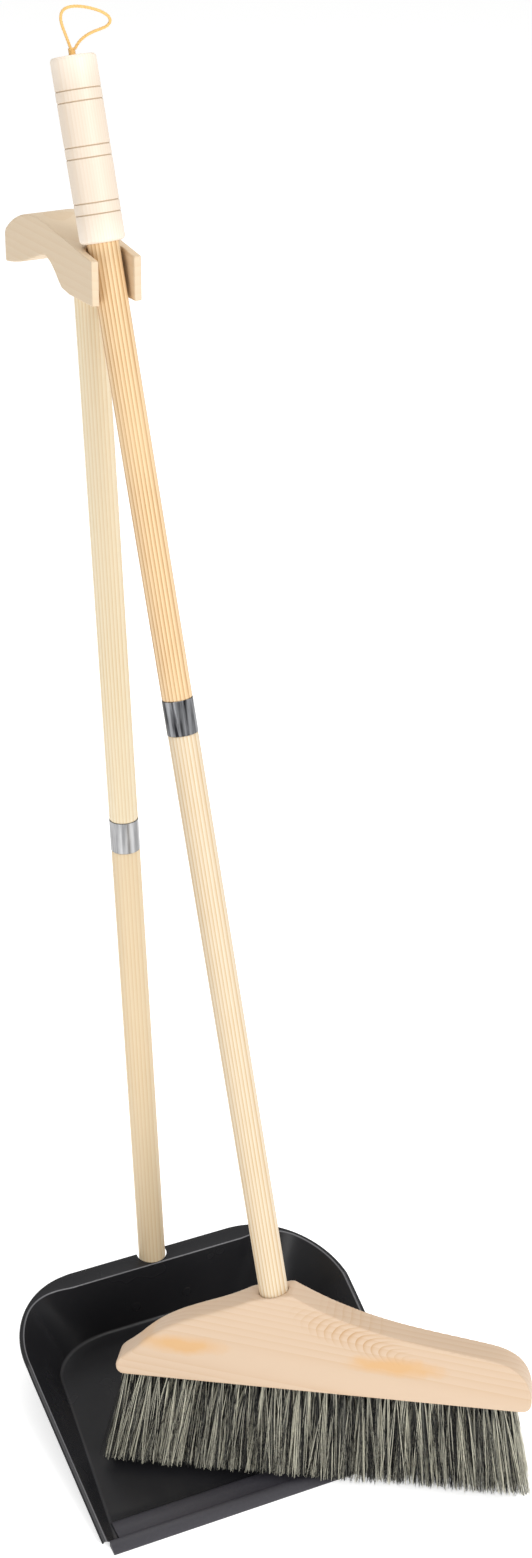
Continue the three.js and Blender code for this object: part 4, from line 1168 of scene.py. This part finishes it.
hair_paint, tree, shader = material("bristle_hair")
tone = put(tree, "ShaderNodeAttribute", attribute_name="tone")
mottle = put(tree, "ShaderNodeTexNoise", {"Vector": own_points(tree)}, Scale=260.0, Detail=2.0)
toned = put(tree, "ShaderNodeMath", {0: mottle.outputs["Fac"]}, operation="MULTIPLY_ADD")
toned.inputs[1].default_value = 0.16
tree.links.new(tone.outputs["Fac"], toned.inputs[2])
ramp = put(tree, "ShaderNodeValToRGB", {"Fac": toned.outputs[0]})
ramp.color_ramp.elements[0].position = 0.18
ramp.color_ramp.elements[0].color = HAIR_BLACK
ramp.color_ramp.elements[1].position = 1.0
ramp.color_ramp.elements[1].color = HAIR_FAIR
ramp.color_ramp.elements.new(0.55).color = HAIR_GREY
tree.links.new(ramp.outputs["Color"], shader.inputs["Base Color"])
roughen(tree, shader, mottle.outputs["Fac"], low=0.4, high=0.6)
shader.inputs["Specular IOR Level"].default_value = 0.3


def stray(spreads):
    return chance.gauss(0, spreads[0]), chance.gauss(0, spreads[1])


def new_lock(tuft_tone):
    """Where a lock of hairs stands in its tuft, how far its tips stray, and its tone."""
    angle = chance.uniform(0, 2 * math.pi)
    out = TUFT_RADIUS * math.sqrt(chance.random())
    tips = stray(LOCK_STRAY)
    pick = chance.random()
    tone = BLACK_TONE if pick < BLACK_SHARE else GREY_TONE if pick < GREY_SHARE else FAIR_TONE
    return out * math.cos(angle), out * math.sin(angle), tips, tone + tuft_tone


def hair_line(tuft_x, row_place, lean, spot_x, spot_y, lock_tips):
    """Root, tip and bow of one hair, in millimetres in the head's own frame."""
    across_share = (tuft_x + spot_x - SHORT_END) / (LONG_END - SHORT_END)
    fan = FAN_LEFT + (FAN_RIGHT - FAN_LEFT) * across_share
    edge = 1 if OUTER_SHARE < across_share < 1 - OUTER_SHARE else 0.5
    long = (LENGTH_LEFT + (LENGTH_RIGHT - LENGTH_LEFT) * across_share
            - abs(chance.gauss(0, TRIM)))
    root = Vector((tuft_x + spot_x, row_place * ROW_SPACING + spot_y, HEAD_BOTTOM + ROOT_DEPTH))
    own_x, own_y = stray(TIP_STRAY)
    stray_x, stray_y = lock_tips[0] + own_x, lock_tips[1] + own_y
    tip = Vector((tuft_x + spot_x * 1.5 + fan + (lean[0] + stray_x) * edge,
                  row_place * TIP_SPACING + spot_y * 1.4 + lean[1] + stray_y,
                  HEAD_BOTTOM - long))
    foot_height = (head_place @ (tip * MM)).z
    if foot_height < FLOOR_CLEARANCE:       # trimmed clear of the pan and the ground
        root_height = (head_place @ (root * MM)).z
        tip = root.lerp(tip, (root_height - FLOOR_CLEARANCE - chance.random() * 2 * MM)
                        / (root_height - foot_height))
    return root, tip, Vector((*stray(BOW), 0)) * edge


def add_hair(vertices, faces, root, tip, bow):
    """A three-sided hair that thins towards its tip."""
    start = len(vertices)
    spin = chance.uniform(0, 2)
    thick = HAIR_RADIUS * chance.uniform(0.75, 1.25)
    for k in range(HAIR_STEPS + 1):
        t = k / HAIR_STEPS
        middle = root.lerp(tip, t) + bow * (4 * t * (1 - t)) * 0.6
        radius = thick * (1 - TAPER * t)
        for side in range(3):
            turn = spin + side * 2 * math.pi / 3
            vertices.append(((middle.x + radius * math.cos(turn)) * MM,
                             (middle.y + radius * math.sin(turn)) * MM, middle.z * MM))
        if k:
            a, b = start + (k - 1) * 3, start + k * 3
            for side in range(3):
                n = (side + 1) % 3
                faces.append((a + side, b + side, b + n, a + n))
    end = start + HAIR_STEPS * 3
    faces.append((start + 2, start + 1, start))
    faces.append((end, end + 1, end + 2))


tuft_count = int((LAST_TUFT - FIRST_TUFT) / TUFT_SPACING) + 1
for row in range(BRISTLE_ROWS):
    row_place = row - (BRISTLE_ROWS - 1) / 2
    vertices, faces, tones = [], [], []
    for tuft in range(tuft_count):
        share = tuft / (tuft_count - 1)
        stagger = (row % 2) * TUFT_SPACING / 2 * (1 if share < 0.5 else -1)
        tuft_x = (FIRST_TUFT + (LAST_TUFT - FIRST_TUFT) * share
                  + stagger * (1 - abs(2 * share - 1) * 0.3))
        lean_x, lean_y = stray(TUFT_STRAY)
        tuft_tone = chance.gauss(0, 0.04)
        for hair in range(HAIRS_PER_TUFT):
            if hair % HAIRS_PER_LOCK == 0:
                lock_x, lock_y, lock_tips, lock_tone = new_lock(tuft_tone)
            spot_x = lock_x + chance.gauss(0, ROOT_STRAY)
            spot_y = lock_y + chance.gauss(0, ROOT_STRAY)
            add_hair(vertices, faces, *hair_line(
                tuft_x, row_place, (lean_x + TUFT_LEAN, lean_y), spot_x, spot_y, lock_tips))
            tones += [lock_tone + chance.gauss(0, 0.07)] * (3 * (HAIR_STEPS + 1))
    tufts = new_piece(f"bristle_tufts_{row + 1}", vertices, faces, head_place)
    tufts.data.attributes.new("tone", "FLOAT", "POINT").data.foreach_set("value", tones)
    tufts.data.polygons.foreach_set("use_smooth", [True] * len(faces))
    tufts.data.materials.append(hair_paint)
    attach(tufts, "broom")
    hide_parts(f"bristle_row_{row + 1}")
